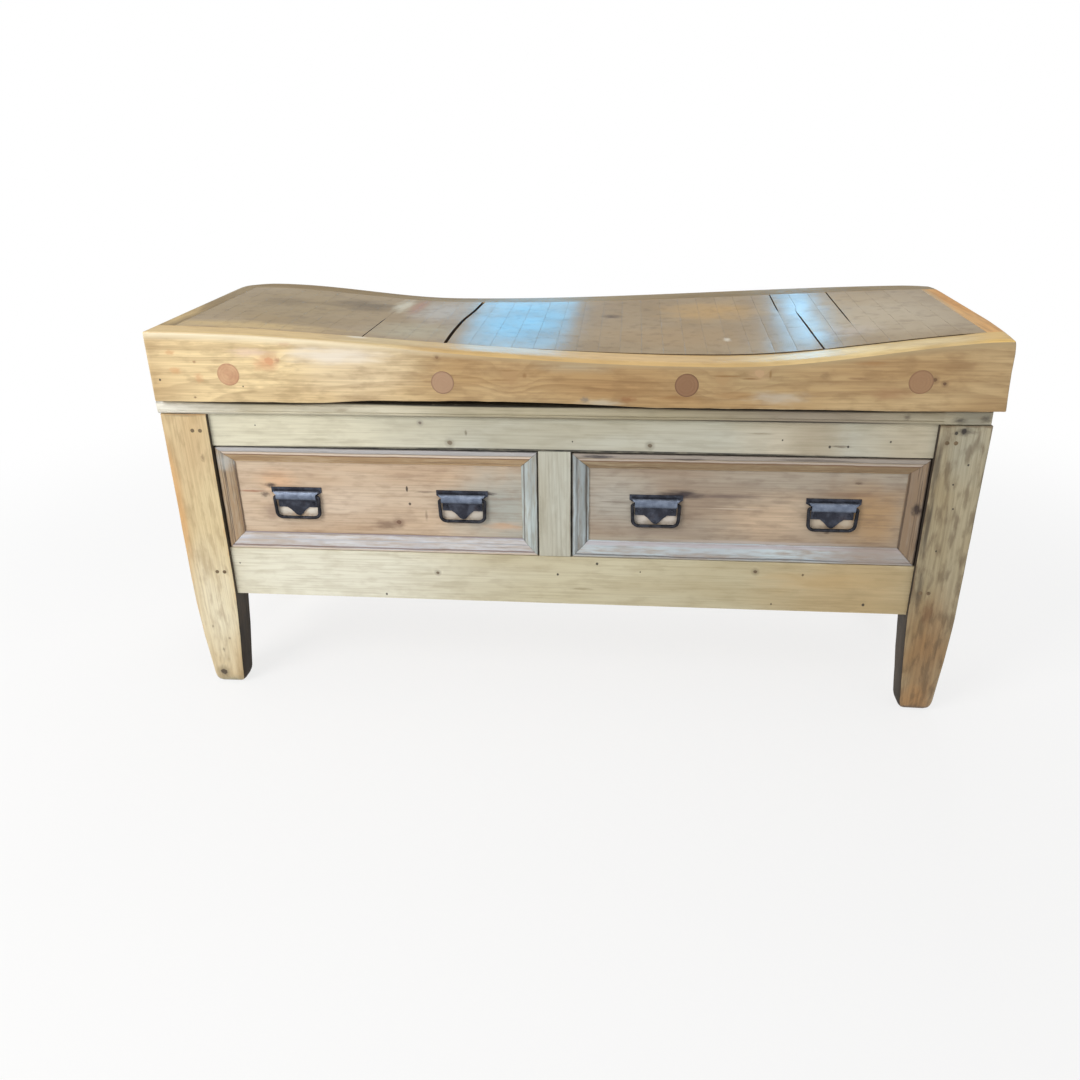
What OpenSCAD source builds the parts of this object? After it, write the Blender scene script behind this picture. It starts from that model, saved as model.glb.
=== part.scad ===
// Butcher block on a two-drawer pine stand.
// X runs to the right, Y to the back and Z up. The origin is on the floor, under the middle
// of the space that the whole piece takes up.

/* [Block] */
// Length of the block, end to end
block_l = 1604; // [1400:1:1800]
// Depth of the block, front to back
block_d = 550; // [480:1:680]
// Thickness of the block where it isn't worn
block_t = 139; // [125:1:180]
// How far the block lies to the right of the middle of the stand
block_shift = 7.6; // [0:0.1:20]
// Thickness of the front and back boards
long_board_t = 60; // [50:1:80]
// Thickness of the end boards
end_board_t = 38; // [25:1:60]
// Height lost at the outer top edges of the boards
arris_drop = 5; // [1:0.5:10]
// Width of the softened outer top edges
arris_w = 14; // [8:1:24]

/* [End-grain core] */
// Width of a tile, along the block
tile_w = 41.3; // [35:0.1:60]
// Number of whole tile lengths across the block, besides the half tile
tile_rows = 5; // [4:1:7]
// Glue line between tiles
glue_gap = 0.2; // [0.1:0.05:0.4]
// Width of the crack that runs right through the block
wide_crack = 5; // [2:0.5:8]
// Width of the shorter cracks
thin_crack = 2; // [1:0.5:4]

/* [Wear] */
// Depth of the hollow at the front edge
front_wear = 53; // [20:1:56]
// Place of its lowest point, right of the block's middle
front_wear_x = 282; // [150:1:400]
// Reach of the front hollow to the left
front_wear_left = 1150; // [700:10:1300]
// Reach of the front hollow to the right
front_wear_right = 600; // [400:10:800]
// Depth of the hollow at the back edge
back_wear = 33; // [10:1:45]
// Place of its lowest point, left of the block's middle
back_wear_x = 268; // [150:1:400]
// Reach of the back hollow to the left
back_wear_left = 480; // [400:10:700]
// Reach of the back hollow to the right
back_wear_right = 1120; // [700:10:1300]

/* [Tie rods and plugs] */
// Diameter of a tie rod
rod_dia = 16; // [10:1:18]
// Place of the outer rods, from the block's middle
rod_outer_x = 644.5; // [560:0.5:670]
// Place of the inner rods, from the block's middle
rod_inner_x = 228; // [120:1:320]
// Height of the outer rods over the underside of the block
rod_outer_z = 57; // [45:1:58]
// Height of the inner rods over the underside of the block
rod_inner_z = 46; // [40:1:50]
// Diameter of a plug
plug_dia = 44; // [42:1:52]
// Thickness of a plug
plug_t = 16; // [8:1:18]
// Thickness of a washer
washer_t = 4; // [2:0.5:5]
// Width of a nut across its flats
nut_flats = 27; // [24:1:32]
// Thickness of a nut
nut_t = 14; // [8:1:16]

/* [Stand] */
// Length of the stand over its legs
stand_l = 1600; // [1400:1:1780]
// Depth of the stand over its legs
stand_d = 510; // [440:1:600]
// Height of the open space under the bottom rails
leg_clear = 232; // [180:1:420]
// Height of the bottom rails
bottom_rail_h = 109; // [80:1:140]
// Height of the drawer openings
opening_h = 228; // [200:1:280]
// Height of the top rails
top_rail_h = 67; // [60:1:100]
// Thickness of the rails
rail_t = 26; // [22:1:32]
// How far the rails lie behind the face of the legs
rail_set = 9; // [0:1:12]
// Width of the muntin between the drawers
muntin_w = 66; // [50:1:90]
// How far the muntin lies to the left of the middle
muntin_shift = 12; // [0:1:40]

/* [Platform] */
// Thickness of the platform boards
platform_t = 30; // [20:1:40]
// How far the platform reaches over the ends of the stand
platform_end = 3; // [0:0.5:10]
// How far the platform reaches over the front and back
platform_front_over = 2; // [0:0.5:8]
// Width of the middle platform board
middle_board_w = 180; // [120:1:260]

/* [Legs] */
// Width of a leg, seen from the front
leg_w = 95; // [80:1:120]
// Depth of a leg
leg_d = 68; // [64:1:90]
// Taper of a leg on its outer side
taper_outer = 8; // [0:1:14]
// Taper of a leg on its inner side
taper_inner = 16; // [0:1:24]
// Taper of a leg on its front and back
taper_deep = 5; // [0:1:8]
// Radius of the worn foot
foot_r = 13; // [6:1:18]

/* [Joints] */
// Length of a tenon
tenon_l = 42; // [30:1:45]
// Thickness of a tenon, and of the panels
tenon_t = 12; // [8:1:14]
// Shoulder above and below a tenon
tenon_shoulder = 8; // [4:1:14]
// Depth of the grooves that hold the panels
groove_d = 8; // [5:1:12]
// Diameter of a tenon nail
nail_dia = 4; // [3:0.5:5]
// Diameter of its head
nail_head = 8; // [6:0.5:10]
// Length of a tenon nail
nail_l = 46; // [40:1:60]
// Clearance round a nail or screw
nail_fit = 0.05; // [0.02:0.01:0.1]

/* [Drawers] */
// Gap beside a drawer front
side_gap = 2; // [1:0.5:4]
// Gap above a drawer front
top_gap = 4; // [2:0.5:8]
// Gap under a drawer front
under_gap = 1; // [0.5:0.5:2]
// Running gap between a drawer and its runner
run_gap = 0.3; // [0.2:0.1:0.5]
// Thickness of a drawer front
front_t = 22; // [18:1:28]
// Thickness of a drawer side and back
drawer_side_t = 12; // [10:1:16]
// Thickness of a drawer bottom
drawer_bottom_t = 8; // [5:1:10]
// Room between a drawer's back and the rail behind it
drawer_back_room = 32; // [24:1:90]
// Height of the groove for the bottom over the lower edge of the sides
bottom_z = 12; // [8:1:20]
// Length of the dovetails
tail_l = 14; // [10:1:16]
// Number of dovetails on a corner
tails = 4; // [3:1:6]
// Width of the applied moulding
mould_w = 33; // [26:1:40]
// Thickness of the applied moulding
mould_t = 14; // [10:1:18]
// Hairline gap in a mitre
mitre_gap = 0.3; // [0.1:0.1:0.6]
// Width of a runner under a drawer side
runner_w = 20; // [16:1:30]
// Height of a runner
runner_h = 25; // [16:1:40]
// Height of a guide above the runner
guide_h = 30; // [15:1:50]

/* [Handles] */
// Distance of a handle from the middle of its drawer
handle_x = 173; // [120:1:220]
// Distance of the handles' top edge under the top of the drawer opening
handle_drop = 92; // [60:1:105]
// Width of the handle's top strip
strip_w = 106; // [100:1:120]
// Height of the handle's top strip
strip_h = 11; // [8:1:16]
// Thickness of the plate
plate_t = 2; // [1.5:0.5:3]
// Height of the barrel
barrel_h = 16; // [14:1:18]
// Width of the lower plate
plate_w = 82; // [70:1:84]
// Height of the lower plate beside its tip
plate_h = 17; // [14:1:20]
// Length of the pointed tip
tip_h = 17; // [10:1:18]
// Width of the pointed tip where it starts
tip_w = 46; // [30:1:60]
// Diameter of the bail's rod
bail_dia = 6.5; // [5:0.5:7]
// Radial running clearance of the bail in its barrel
bail_fit = 0.1; // [0.05:0.05:0.2]
// Width of the bail over its arms
bail_w = 101; // [99:1:106]
// Distance from the barrel's axis down to the bail's lower bar
bail_drop = 50; // [46:1:60]
// Length of each bail end in the barrel
bail_pin = 32; // [20:1:36]
// Distance of a screw from the middle of the handle
screw_x = 33; // [24:1:34]
// Diameter of a screw's shank
screw_dia = 3.5; // [3:0.5:4]
// Diameter of a screw's head
screw_head = 8; // [6:0.5:9]
// Length of a screw in the wood
screw_l = 16; // [10:1:18]

/* [Hidden] */

LEFT = -1;
RIGHT = 1;
FRONT = -1;
BACK = 1;
// Cuts run this far past a face.
over = 1;
// Least height of the level line over a counterbore, and half its least depth under the top
line_gap = 0.5;

// Heights of the stand's levels
opening_z0 = leg_clear + bottom_rail_h;
opening_z1 = opening_z0 + opening_h;
leg_top = opening_z1 + top_rail_h;
block_z = leg_top + platform_t;

// The stand and the block are set so that the whole is centred on the origin.
x_low = min(-stand_l/2 - platform_end, block_shift - block_l/2);
x_high = max(stand_l/2 + platform_end, block_shift + block_l/2);
stand_x = -(x_low + x_high)/2;
block_x = stand_x + block_shift;

// Inner faces of the legs, from the middle of the stand
leg_in_x = stand_l/2 - leg_w;
leg_in_y = stand_d/2 - leg_d;
// Inner faces of the rails
rail_in_x = stand_l/2 - rail_set - rail_t;
rail_in_y = stand_d/2 - rail_set - rail_t;
// Distance of a tenon's or panel's outer face behind the face of the legs
tenon_set = rail_set + (rail_t - tenon_t)/2;

// Core
core_l = block_l - 2*end_board_t;
core_d = block_d - 2*long_board_t;
core_x0 = block_x - core_l/2;
columns = round(core_l/tile_w);
column_w = core_l/columns;
tile_l = core_d/(tile_rows + 0.5);
// Open cracks: place from the block's middle, start and end across the block as shares of
// its half depth, and width
CRACKS = [
  [-391, -1, -0.1, thin_crack/2],
  [-227, -1, 1, wide_crack],
  [434, 0.3, 1, thin_crack],
  [475, -1, 0.3, thin_crack + 0.5],
  [557, -0.3, 1, thin_crack]
];
// Place of the sound joint at which the middle of the core is parted, from the block's middle
middle_joint_x = 104;
// Column joints where the core is parted into its four groups
PARTS_AT = [0, joint_near(CRACKS[1][0]), joint_near(middle_joint_x), joint_near(CRACKS[2][0]), columns];

// Tie rods, as place from the block's middle and height over its underside
RODS = [
  [-rod_outer_x, rod_outer_z], [-rod_inner_x, rod_inner_z],
  [rod_inner_x, rod_inner_z], [rod_outer_x, rod_outer_z]
];
rod_fit = 0.5;
plug_fit = 0.1;
washer_dia = plug_dia - 4;
// Depth of the counterbore that hides a nut, and of a rod's end
nut_end = 2;
counterbore = plug_t + nut_end + nut_t + washer_t;
rod_end = plug_t + nut_end - 1;

// Drawer openings and drawers
muntin_x = stand_x - muntin_shift;
drawer_y = -stand_d/2 + rail_set + mould_t;
// Length of a drawer, from its front board's face to its back
drawer_l = rail_in_y - drawer_back_room - drawer_y;
drawer_h = opening_h - top_gap - under_gap;
drawer_z = opening_z0 + under_gap;
side_z = opening_z0 + run_gap;
side_h = drawer_z + drawer_h - side_z - 4;
dado = drawer_side_t/2;

// Handles
handle_z = opening_z1 - handle_drop;
axis_z = handle_z - strip_h - barrel_h/2;
barrel_r = barrel_h/2 - 1;
axis_y = drawer_y - plate_t - bail_dia/2 - 0.8;
bail_hw = bail_w/2 - bail_dia/2;
plate_z = axis_z - barrel_h/2;
screw_z = plate_z - plate_h/2;
// Radii of the bends at the top and the bottom of the bail
bend_top = 5;
bend_low = 12;
// Half width of the barrel, which ends just before the bail bends down
barrel_hw = bail_hw - bend_top - 3*bail_fit;

// Share of a hollow's depth at distance u of its reach, from 1 in its middle to 0
function swell(u) = abs(u) < 1 ? (1 + cos(180*u))/2 : 0;
// Height lost at x along the block, for a hollow with its lowest point at x0
function hollow(x, depth, x0, left, right) = depth*swell((x - x0)/(x < x0 ? left : right));
// Height lost to wear at a point of the top, from the block's middle
function wear(x, y) =
  let (back = (y + block_d/2)/block_d)
  (1 - back)*hollow(x, front_wear, front_wear_x, front_wear_left, front_wear_right)
  + back*hollow(x, back_wear, -back_wear_x, back_wear_left, back_wear_right);
// Height lost to the softened outer edge, at distance d from that edge
function edge_drop(d) = d < arris_w ? arris_drop*pow(1 - d/arris_w, 2) : 0;
// Top of the block at a point given from the block's middle
function top_z(x, y) =
  block_z + block_t - wear(x, y) - edge_drop(min(block_l/2 - abs(x), block_d/2 - abs(y)));
// Column joint nearest to a place given from the block's middle
function joint_near(x) = round((x + core_l/2)/column_w);
// Start of a tile's row, from the block's middle
function row_y(column, row) =
  min(core_d, max(0, (row - (column % 2 == 0 ? 0.5 : 0))*tile_l)) - core_d/2;
// Width of the crack at a column joint, beside a tile whose middle is at y
function crack(joint, y) = max([for (c = CRACKS)
  joint_near(c[0]) == joint && y > c[1]*core_d/2 && y < c[2]*core_d/2 ? c[3] : 0]);
// Even steps from a to b
function steps(a, b, n) = [for (i = [0:n]) a + (b - a)*i/n];
// Ends of a drawer opening
function opening_x0(side) = side == LEFT ? stand_x - leg_in_x : muntin_x + muntin_w/2;
function opening_x1(side) = side == LEFT ? muntin_x - muntin_w/2 : stand_x + leg_in_x;

// A solid that stands on the platform, with its top on the worn surface. xs and ys are the
// places, from the block's middle, where the top is sampled. Each side is two faces, parted
// by a level line over the counterbores, so that no hole is cut near a corner of the top.
module worn_solid(xs, ys) {
  nx = len(xs);
  ny = len(ys);
  top = [for (y = ys) for (x = xs) [x + block_x, y, top_z(x, y)]];
  lowest = min([for (corner = top) corner[2]]);
  line_z = min(block_z + rod_outer_z + plug_dia/2 + line_gap, lowest - 2*line_gap);
  low = [for (z = [block_z, line_z]) for (y = [ys[0], ys[ny - 1]])
    for (x = [xs[0], xs[nx - 1]]) [x + block_x, y, z]];
  n = nx*ny;
  faces = concat(
    [for (j = [0:ny - 2]) for (i = [0:nx - 2]) [j*nx + i, (j + 1)*nx + i, (j + 1)*nx + i + 1]],
    [for (j = [0:ny - 2]) for (i = [0:nx - 2]) [j*nx + i, (j + 1)*nx + i + 1, j*nx + i + 1]],
    [[n, n + 1, n + 3, n + 2]],
    [[n + 1, n, n + 4, n + 5], [n + 2, n + 3, n + 7, n + 6]],
    [[n, n + 2, n + 6, n + 4], [n + 3, n + 1, n + 5, n + 7]],
    [concat([n + 5, n + 4], [for (i = [0:nx - 1]) i])],
    [concat([n + 6, n + 7], [for (i = [nx - 1:-1:0]) (ny - 1)*nx + i])],
    [concat([n + 4, n + 6], [for (j = [ny - 1:-1:0]) j*nx])],
    [concat([n + 7, n + 5], [for (j = [0:ny - 1]) j*nx + nx - 1])]
  );
  polyhedron(concat(top, low), faces, convexity = 4);
}

// A cylinder along Y from y0 to y1
module bar_y(x, z, y0, y1, d) {
  translate([x, y0, z])
    rotate([-90, 0, 0])
      cylinder(h = y1 - y0, d = d, $fn = 48);
}

// Holes for the tie rods
module rod_holes() {
  for (rod = RODS)
    bar_y(block_x + rod[0], block_z + rod[1], -block_d/2 - over, block_d/2 + over, rod_dia + 2*rod_fit);
}

// Counterbores in the face of the front or back board
module counterbores(side) {
  face = side*block_d/2;
  inner = face - side*counterbore;
  outer = face + side*over;
  for (rod = RODS)
    bar_y(block_x + rod[0], block_z + rod[1], min(inner, outer), max(inner, outer), plug_dia);
}

// The long board at the front or back of the block
module long_board(side, tone) {
  outer = side*block_d/2;
  inner = side*core_d/2;
  soft = side*arris_w;
  ys = [outer, outer - soft/2, outer - soft, inner];
  xs = concat([-block_l/2, -block_l/2 + arris_w/2],
    steps(-block_l/2 + arris_w, block_l/2 - arris_w, 36),
    [block_l/2 - arris_w/2, block_l/2]);
  color(tone)
    difference() {
      worn_solid(xs, side == FRONT ? ys : [for (i = [3:-1:0]) ys[i]]);
      rod_holes();
      counterbores(side);
    }
}

module block_front_board() { long_board(FRONT, [0.86, 0.72, 0.49]); }

module block_back_board() { long_board(BACK, [0.84, 0.7, 0.48]); }

// The board that closes the core at one end, between the long boards
module end_board(side, tone) {
  outer = block_l/2;
  xs = [-outer, -outer + arris_w/2, -outer + arris_w, -outer + end_board_t];
  color(tone)
    worn_solid(side == LEFT ? xs : [for (i = [3:-1:0]) -xs[i]], steps(-core_d/2, core_d/2, 8));
}

module block_left_end() { end_board(LEFT, [0.82, 0.66, 0.42]); }

module block_right_end() { end_board(RIGHT, [0.84, 0.62, 0.36]); }

// One end-grain tile, less the glue line and any crack beside it
module tile(column, row) {
  y0 = row_y(column, row) + glue_gap/2;
  y1 = row_y(column, row + 1) - glue_gap/2;
  mid = (y0 + y1)/2;
  x0 = column*column_w - core_l/2;
  xs = [x0 + (glue_gap + crack(column, mid))/2, x0 + column_w - (glue_gap + crack(column + 1, mid))/2];
  drilled = len([for (rod = RODS) if (abs(rod[0] - x0 - column_w/2) < column_w/2 + rod_dia) rod]) > 0;
  difference() {
    worn_solid(xs, [y0, y1]);
    if (drilled)
      rod_holes();
  }
}

// The tiles of one group of columns
module core_group(index, tone) {
  color(tone)
    for (column = [PARTS_AT[index]:PARTS_AT[index + 1] - 1])
      for (row = [0:tile_rows])
        tile(column, row);
}

module core_left() { core_group(0, [0.69, 0.59, 0.42]); }

module core_middle_left() { core_group(1, [0.66, 0.58, 0.47]); }

module core_middle_right() { core_group(2, [0.65, 0.56, 0.44]); }

module core_right() { core_group(3, [0.68, 0.58, 0.45]); }

module tie_rods() {
  color([0.3, 0.29, 0.28])
    for (rod = RODS)
      bar_y(block_x + rod[0], block_z + rod[1], -block_d/2 + rod_end, block_d/2 - rod_end, rod_dia);
}

// Places its children at each rod end, with +Z pointing out of the block from the bottom
// of the counterbore.
module at_rod_ends() {
  for (rod = RODS)
    for (side = [FRONT, BACK])
      translate([block_x + rod[0], side*(block_d/2 - counterbore), block_z + rod[1]])
        rotate([-side*90, 0, 0])
          children();
}

module tie_rod_washers() {
  color([0.34, 0.33, 0.32])
    at_rod_ends()
      difference() {
        cylinder(h = washer_t, d = washer_dia, $fn = 48);
        translate([0, 0, -over])
          cylinder(h = washer_t + 2*over, d = rod_dia + 2*rod_fit, $fn = 48);
      }
}

module tie_rod_nuts() {
  color([0.32, 0.31, 0.3])
    at_rod_ends()
      translate([0, 0, washer_t])
        difference() {
          cylinder(h = nut_t, d = nut_flats/cos(30), $fn = 6);
          translate([0, 0, -over])
            cylinder(h = nut_t + 2*over, d = rod_dia + 2*nail_fit, $fn = 48);
        }
}

// Plugs in the counterbores of one long board
module plugs(side) {
  face = side*block_d/2;
  inner = face - side*plug_t;
  color([0.74, 0.56, 0.43])
    for (rod = RODS)
      bar_y(block_x + rod[0], block_z + rod[1], min(face, inner), max(face, inner), plug_dia - 2*plug_fit);
}

module front_plugs() { plugs(FRONT); }

module back_plugs() { plugs(BACK); }

// Places its children at a corner of the stand, with X and Y pointing inwards.
module at_corner(side, depth) {
  translate([stand_x + side*stand_l/2, depth*stand_d/2, 0])
    mirror([side == RIGHT ? 1 : 0, 0, 0])
      mirror([0, depth == BACK ? 1 : 0, 0])
        children();
}

// Places its children at the nails of the joint between a corner's leg and its long rails,
// with +Z pointing into the leg. Both levels have two nails.
module at_nails(side, depth) {
  for (z = [leg_clear + bottom_rail_h/2, leg_top - top_rail_h/2])
    for (x = [leg_w - tenon_l*0.42, leg_w - tenon_l*0.8])
      at_corner(side, depth)
        translate([x, 0, z])
          rotate([-90, 0, 0])
            children();
}

module nail_holes(side, depth) {
  at_nails(side, depth) {
    translate([0, 0, -over])
      cylinder(h = over + 1 + nail_fit, d = nail_head + 2*nail_fit, $fn = 24);
    cylinder(h = nail_l + nail_fit, d = nail_dia + 2*nail_fit, $fn = 24);
  }
}

module tenon_nails() {
  color([0.22, 0.2, 0.19])
    for (side = [LEFT, RIGHT])
      for (depth = [FRONT, BACK])
        at_nails(side, depth) {
          cylinder(h = 1, d = nail_head, $fn = 24);
          cylinder(h = nail_l, d = nail_dia, $fn = 24);
        }
}

// Heights of the tenons of the bottom and top rails
TENONS = [
  [leg_clear + tenon_shoulder, bottom_rail_h - 2*tenon_shoulder],
  [opening_z1 + tenon_shoulder, top_rail_h - 2*tenon_shoulder]
];

// A leg in its corner, square above the bottom rails and tapered below
module leg(side, depth, tone) {
  color(tone)
    difference() {
      at_corner(side, depth)
        difference() {
          union() {
            translate([0, 0, leg_clear])
              cube([leg_w, leg_d, leg_top - leg_clear]);
            hull() {
              translate([0, 0, leg_clear - 1])
                cube([leg_w, leg_d, 1]);
              translate([taper_outer + foot_r, taper_deep + foot_r, 0])
                cube([leg_w - taper_outer - taper_inner - 2*foot_r, leg_d - 2*(taper_deep + foot_r), 1]);
              for (x = [taper_outer + foot_r, leg_w - taper_inner - foot_r])
                for (y = [taper_deep + foot_r, leg_d - taper_deep - foot_r])
                  translate([x, y, foot_r])
                    sphere(r = foot_r, $fn = 24);
            }
          }
          for (t = TENONS) {
            translate([leg_w - tenon_l, tenon_set, t[0]])
              cube([tenon_l + over, tenon_t, t[1]]);
            translate([tenon_set, leg_d - tenon_l, t[0]])
              cube([tenon_t, tenon_l + over, t[1]]);
          }
          translate([tenon_set, leg_d - groove_d, opening_z0 - groove_d])
            cube([tenon_t, groove_d + over, opening_h + 2*groove_d]);
          if (depth == BACK)
            translate([leg_w - groove_d, tenon_set, opening_z0 - groove_d])
              cube([groove_d + over, tenon_t, opening_h + 2*groove_d]);
        }
      nail_holes(side, depth);
    }
}

module front_left_leg() { leg(LEFT, FRONT, [0.83, 0.72, 0.5]); }

module front_right_leg() { leg(RIGHT, FRONT, [0.68, 0.56, 0.38]); }

module back_left_leg() { leg(LEFT, BACK, [0.78, 0.67, 0.47]); }

module back_right_leg() { leg(RIGHT, BACK, [0.72, 0.6, 0.42]); }

// A platform board between two places across the stand, rounded on an outer edge
module platform_board(y0, y1, tone) {
  r = platform_t/3;
  w = stand_l + 2*platform_end;
  edge = stand_d/2 + platform_front_over;
  color(tone)
    translate([stand_x - w/2, 0, 0])
      rotate([90, 0, 90])
        linear_extrude(height = w)
          union() {
            translate([y0 + (y0 == -edge ? r : 0), leg_top])
              square([y1 - y0 - (y0 == -edge ? r : 0) - (y1 == edge ? r : 0), platform_t]);
            if (y0 == -edge)
              nosing(y0 + r, r);
            if (y1 == edge)
              nosing(y1 - r, r);
          }
}

// Rounded edge of a platform board, as seen from its end
module nosing(y, r) {
  translate([y - r, leg_top + r])
    square([2*r, platform_t - 2*r]);
  for (z = [leg_top + r, block_z - r])
    translate([y, z])
      circle(r = r, $fn = 48);
}

module platform_front() {
  platform_board(-stand_d/2 - platform_front_over, -middle_board_w/2, [0.8, 0.77, 0.6]);
}

module platform_middle() {
  platform_board(-middle_board_w/2, middle_board_w/2, [0.78, 0.74, 0.57]);
}

module platform_back() {
  platform_board(middle_board_w/2, stand_d/2 + platform_front_over, [0.77, 0.73, 0.56]);
}

// A long rail with its two tenons. Its height starts at z.
module long_rail(depth, z, h) {
  outer = stand_d/2 - rail_set;
  y0 = depth == FRONT ? -outer : outer - rail_t;
  translate([stand_x - leg_in_x, y0, z])
    cube([2*leg_in_x, rail_t, h]);
  translate([stand_x - leg_in_x - tenon_l, y0 + (rail_t - tenon_t)/2, z + tenon_shoulder])
    cube([2*(leg_in_x + tenon_l), tenon_t, h - 2*tenon_shoulder]);
}

// A side rail with its two tenons
module side_rail(side, z, h) {
  outer = stand_l/2 - rail_set;
  x0 = stand_x + (side == LEFT ? -outer : outer - rail_t);
  translate([x0, -leg_in_y, z])
    cube([rail_t, 2*leg_in_y, h]);
  translate([x0 + (rail_t - tenon_t)/2, -leg_in_y - tenon_l, z + tenon_shoulder])
    cube([tenon_t, 2*(leg_in_y + tenon_l), h - 2*tenon_shoulder]);
}

// The panel in one side of the stand, which its grooves fit too
module side_panel(side) {
  outer = stand_l/2 - tenon_set;
  translate([stand_x + (side == LEFT ? -outer : outer - tenon_t), -leg_in_y - groove_d, opening_z0 - groove_d])
    cube([tenon_t, 2*(leg_in_y + groove_d), opening_h + 2*groove_d]);
}

// The panel in the back of the stand
module rear_panel() {
  translate([stand_x - leg_in_x - groove_d, stand_d/2 - tenon_set - tenon_t, opening_z0 - groove_d])
    cube([2*(leg_in_x + groove_d), tenon_t, opening_h + 2*groove_d]);
}

// The muntin's tenons, which its mortises fit too
module muntin_tenons() {
  translate([muntin_x - muntin_w/2 + tenon_shoulder, -stand_d/2 + tenon_set, opening_z0 - tenon_l/2])
    cube([muntin_w - 2*tenon_shoulder, tenon_t, opening_h + tenon_l]);
}

// The holes of the nails at both ends of a long rail
module rail_nail_holes(depth) {
  nail_holes(LEFT, depth);
  nail_holes(RIGHT, depth);
}

module front_top_rail() {
  color([0.84, 0.8, 0.62])
    difference() {
      long_rail(FRONT, opening_z1, top_rail_h);
      muntin_tenons();
      rail_nail_holes(FRONT);
    }
}

module front_bottom_rail() {
  color([0.82, 0.77, 0.58])
    difference() {
      long_rail(FRONT, leg_clear, bottom_rail_h);
      muntin_tenons();
      rail_nail_holes(FRONT);
    }
}

module front_muntin() {
  color([0.8, 0.76, 0.58]) {
    translate([muntin_x - muntin_w/2, -stand_d/2 + rail_set, opening_z0])
      cube([muntin_w, rail_t, opening_h]);
    muntin_tenons();
  }
}

module left_top_rail() {
  color([0.8, 0.75, 0.57])
    difference() {
      side_rail(LEFT, opening_z1, top_rail_h);
      side_panel(LEFT);
    }
}

module left_bottom_rail() {
  color([0.8, 0.75, 0.57])
    difference() {
      side_rail(LEFT, leg_clear, bottom_rail_h);
      side_panel(LEFT);
    }
}

module left_panel() { color([0.78, 0.66, 0.48]) side_panel(LEFT); }

module right_top_rail() {
  color([0.74, 0.68, 0.5])
    difference() {
      side_rail(RIGHT, opening_z1, top_rail_h);
      side_panel(RIGHT);
    }
}

module right_bottom_rail() {
  color([0.74, 0.68, 0.5])
    difference() {
      side_rail(RIGHT, leg_clear, bottom_rail_h);
      side_panel(RIGHT);
    }
}

module right_panel() { color([0.72, 0.6, 0.43]) side_panel(RIGHT); }

module back_top_rail() {
  color([0.76, 0.7, 0.52])
    difference() {
      long_rail(BACK, opening_z1, top_rail_h);
      rear_panel();
      rail_nail_holes(BACK);
    }
}

module back_bottom_rail() {
  color([0.76, 0.7, 0.52])
    difference() {
      long_rail(BACK, leg_clear, bottom_rail_h);
      rear_panel();
      rail_nail_holes(BACK);
    }
}

module back_panel() { color([0.74, 0.62, 0.45]) rear_panel(); }

// A strip between the front and back rails
module cross_strip(x0, w, z, h) {
  translate([x0, -rail_in_y, z])
    cube([w, 2*rail_in_y, h]);
}

centre_w = muntin_w + 2*(runner_w - side_gap);

// Bearers under the platform that also keep the drawers from tipping
module cross_bearers() {
  color([0.72, 0.6, 0.42]) {
    cross_strip(stand_x - leg_in_x, runner_w, opening_z1, top_rail_h);
    cross_strip(muntin_x - centre_w/2, centre_w, opening_z1, top_rail_h);
    cross_strip(stand_x + leg_in_x - runner_w, runner_w, opening_z1, top_rail_h);
  }
}

module left_runner() {
  color([0.74, 0.62, 0.44])
    cross_strip(stand_x - leg_in_x, runner_w, opening_z0 - runner_h, runner_h);
}

module centre_runner() {
  color([0.74, 0.62, 0.44])
    cross_strip(muntin_x - centre_w/2, centre_w, opening_z0 - runner_h, runner_h);
}

module right_runner() {
  color([0.74, 0.62, 0.44])
    cross_strip(stand_x + leg_in_x - runner_w, runner_w, opening_z0 - runner_h, runner_h);
}

// Guides beside the drawer sides: one between the legs at each end, one behind the muntin
module drawer_guides() {
  end_w = rail_in_x - leg_in_x;
  color([0.7, 0.58, 0.4]) {
    for (x0 = [stand_x - rail_in_x, stand_x + leg_in_x])
      translate([x0, -leg_in_y, opening_z0 - runner_h])
        cube([end_w, 2*leg_in_y, runner_h + guide_h]);
    cross_strip(muntin_x - muntin_w/2, muntin_w, opening_z0, guide_h);
  }
}

// Ends of a drawer along X
function drawer_x0(side) = opening_x0(side) + side_gap;
function drawer_x1(side) = opening_x1(side) - side_gap;
function drawer_mid(side) = (opening_x0(side) + opening_x1(side))/2;

// Dovetails at both ends of a drawer, which their sockets fit too
module dovetails(x0, x1) {
  pitch = side_h/tails;
  root = pitch*0.55;
  flare = pitch*0.1;
  y = drawer_y + front_t;
  for (x = [x0, x1 - drawer_side_t])
    for (i = [0:tails - 1])
      translate([x, 0, side_z + pitch*(i + 0.5)])
        rotate([90, 0, 90])
          linear_extrude(height = drawer_side_t)
            polygon([
              [y + over, -root/2], [y, -root/2], [y - tail_l, -root/2 - flare],
              [y - tail_l, root/2 + flare], [y, root/2], [y + over, root/2]
            ]);
}

// The drawer's bottom board, which its grooves fit too
module bottom_board(x0, x1) {
  y0 = drawer_y + front_t - dado;
  translate([x0 + drawer_side_t - dado, y0, side_z + bottom_z])
    cube([x1 - x0 - 2*(drawer_side_t - dado), drawer_y + drawer_l - y0, drawer_bottom_t]);
}

// The drawer's back board, which its dados fit too
module rear_board(x0, x1) {
  z0 = side_z + bottom_z + drawer_bottom_t;
  translate([x0 + drawer_side_t - dado, drawer_y + drawer_l - 2*drawer_side_t, z0])
    cube([x1 - x0 - 2*(drawer_side_t - dado), drawer_side_t, side_z + side_h - z0]);
}

// Places of the two screws of each handle of a drawer
module at_screws(side) {
  for (x = [-handle_x, handle_x])
    for (s = [-screw_x, screw_x])
      translate([drawer_mid(side) + x + s, drawer_y, screw_z])
        rotate([90, 0, 0])
          children();
}

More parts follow.
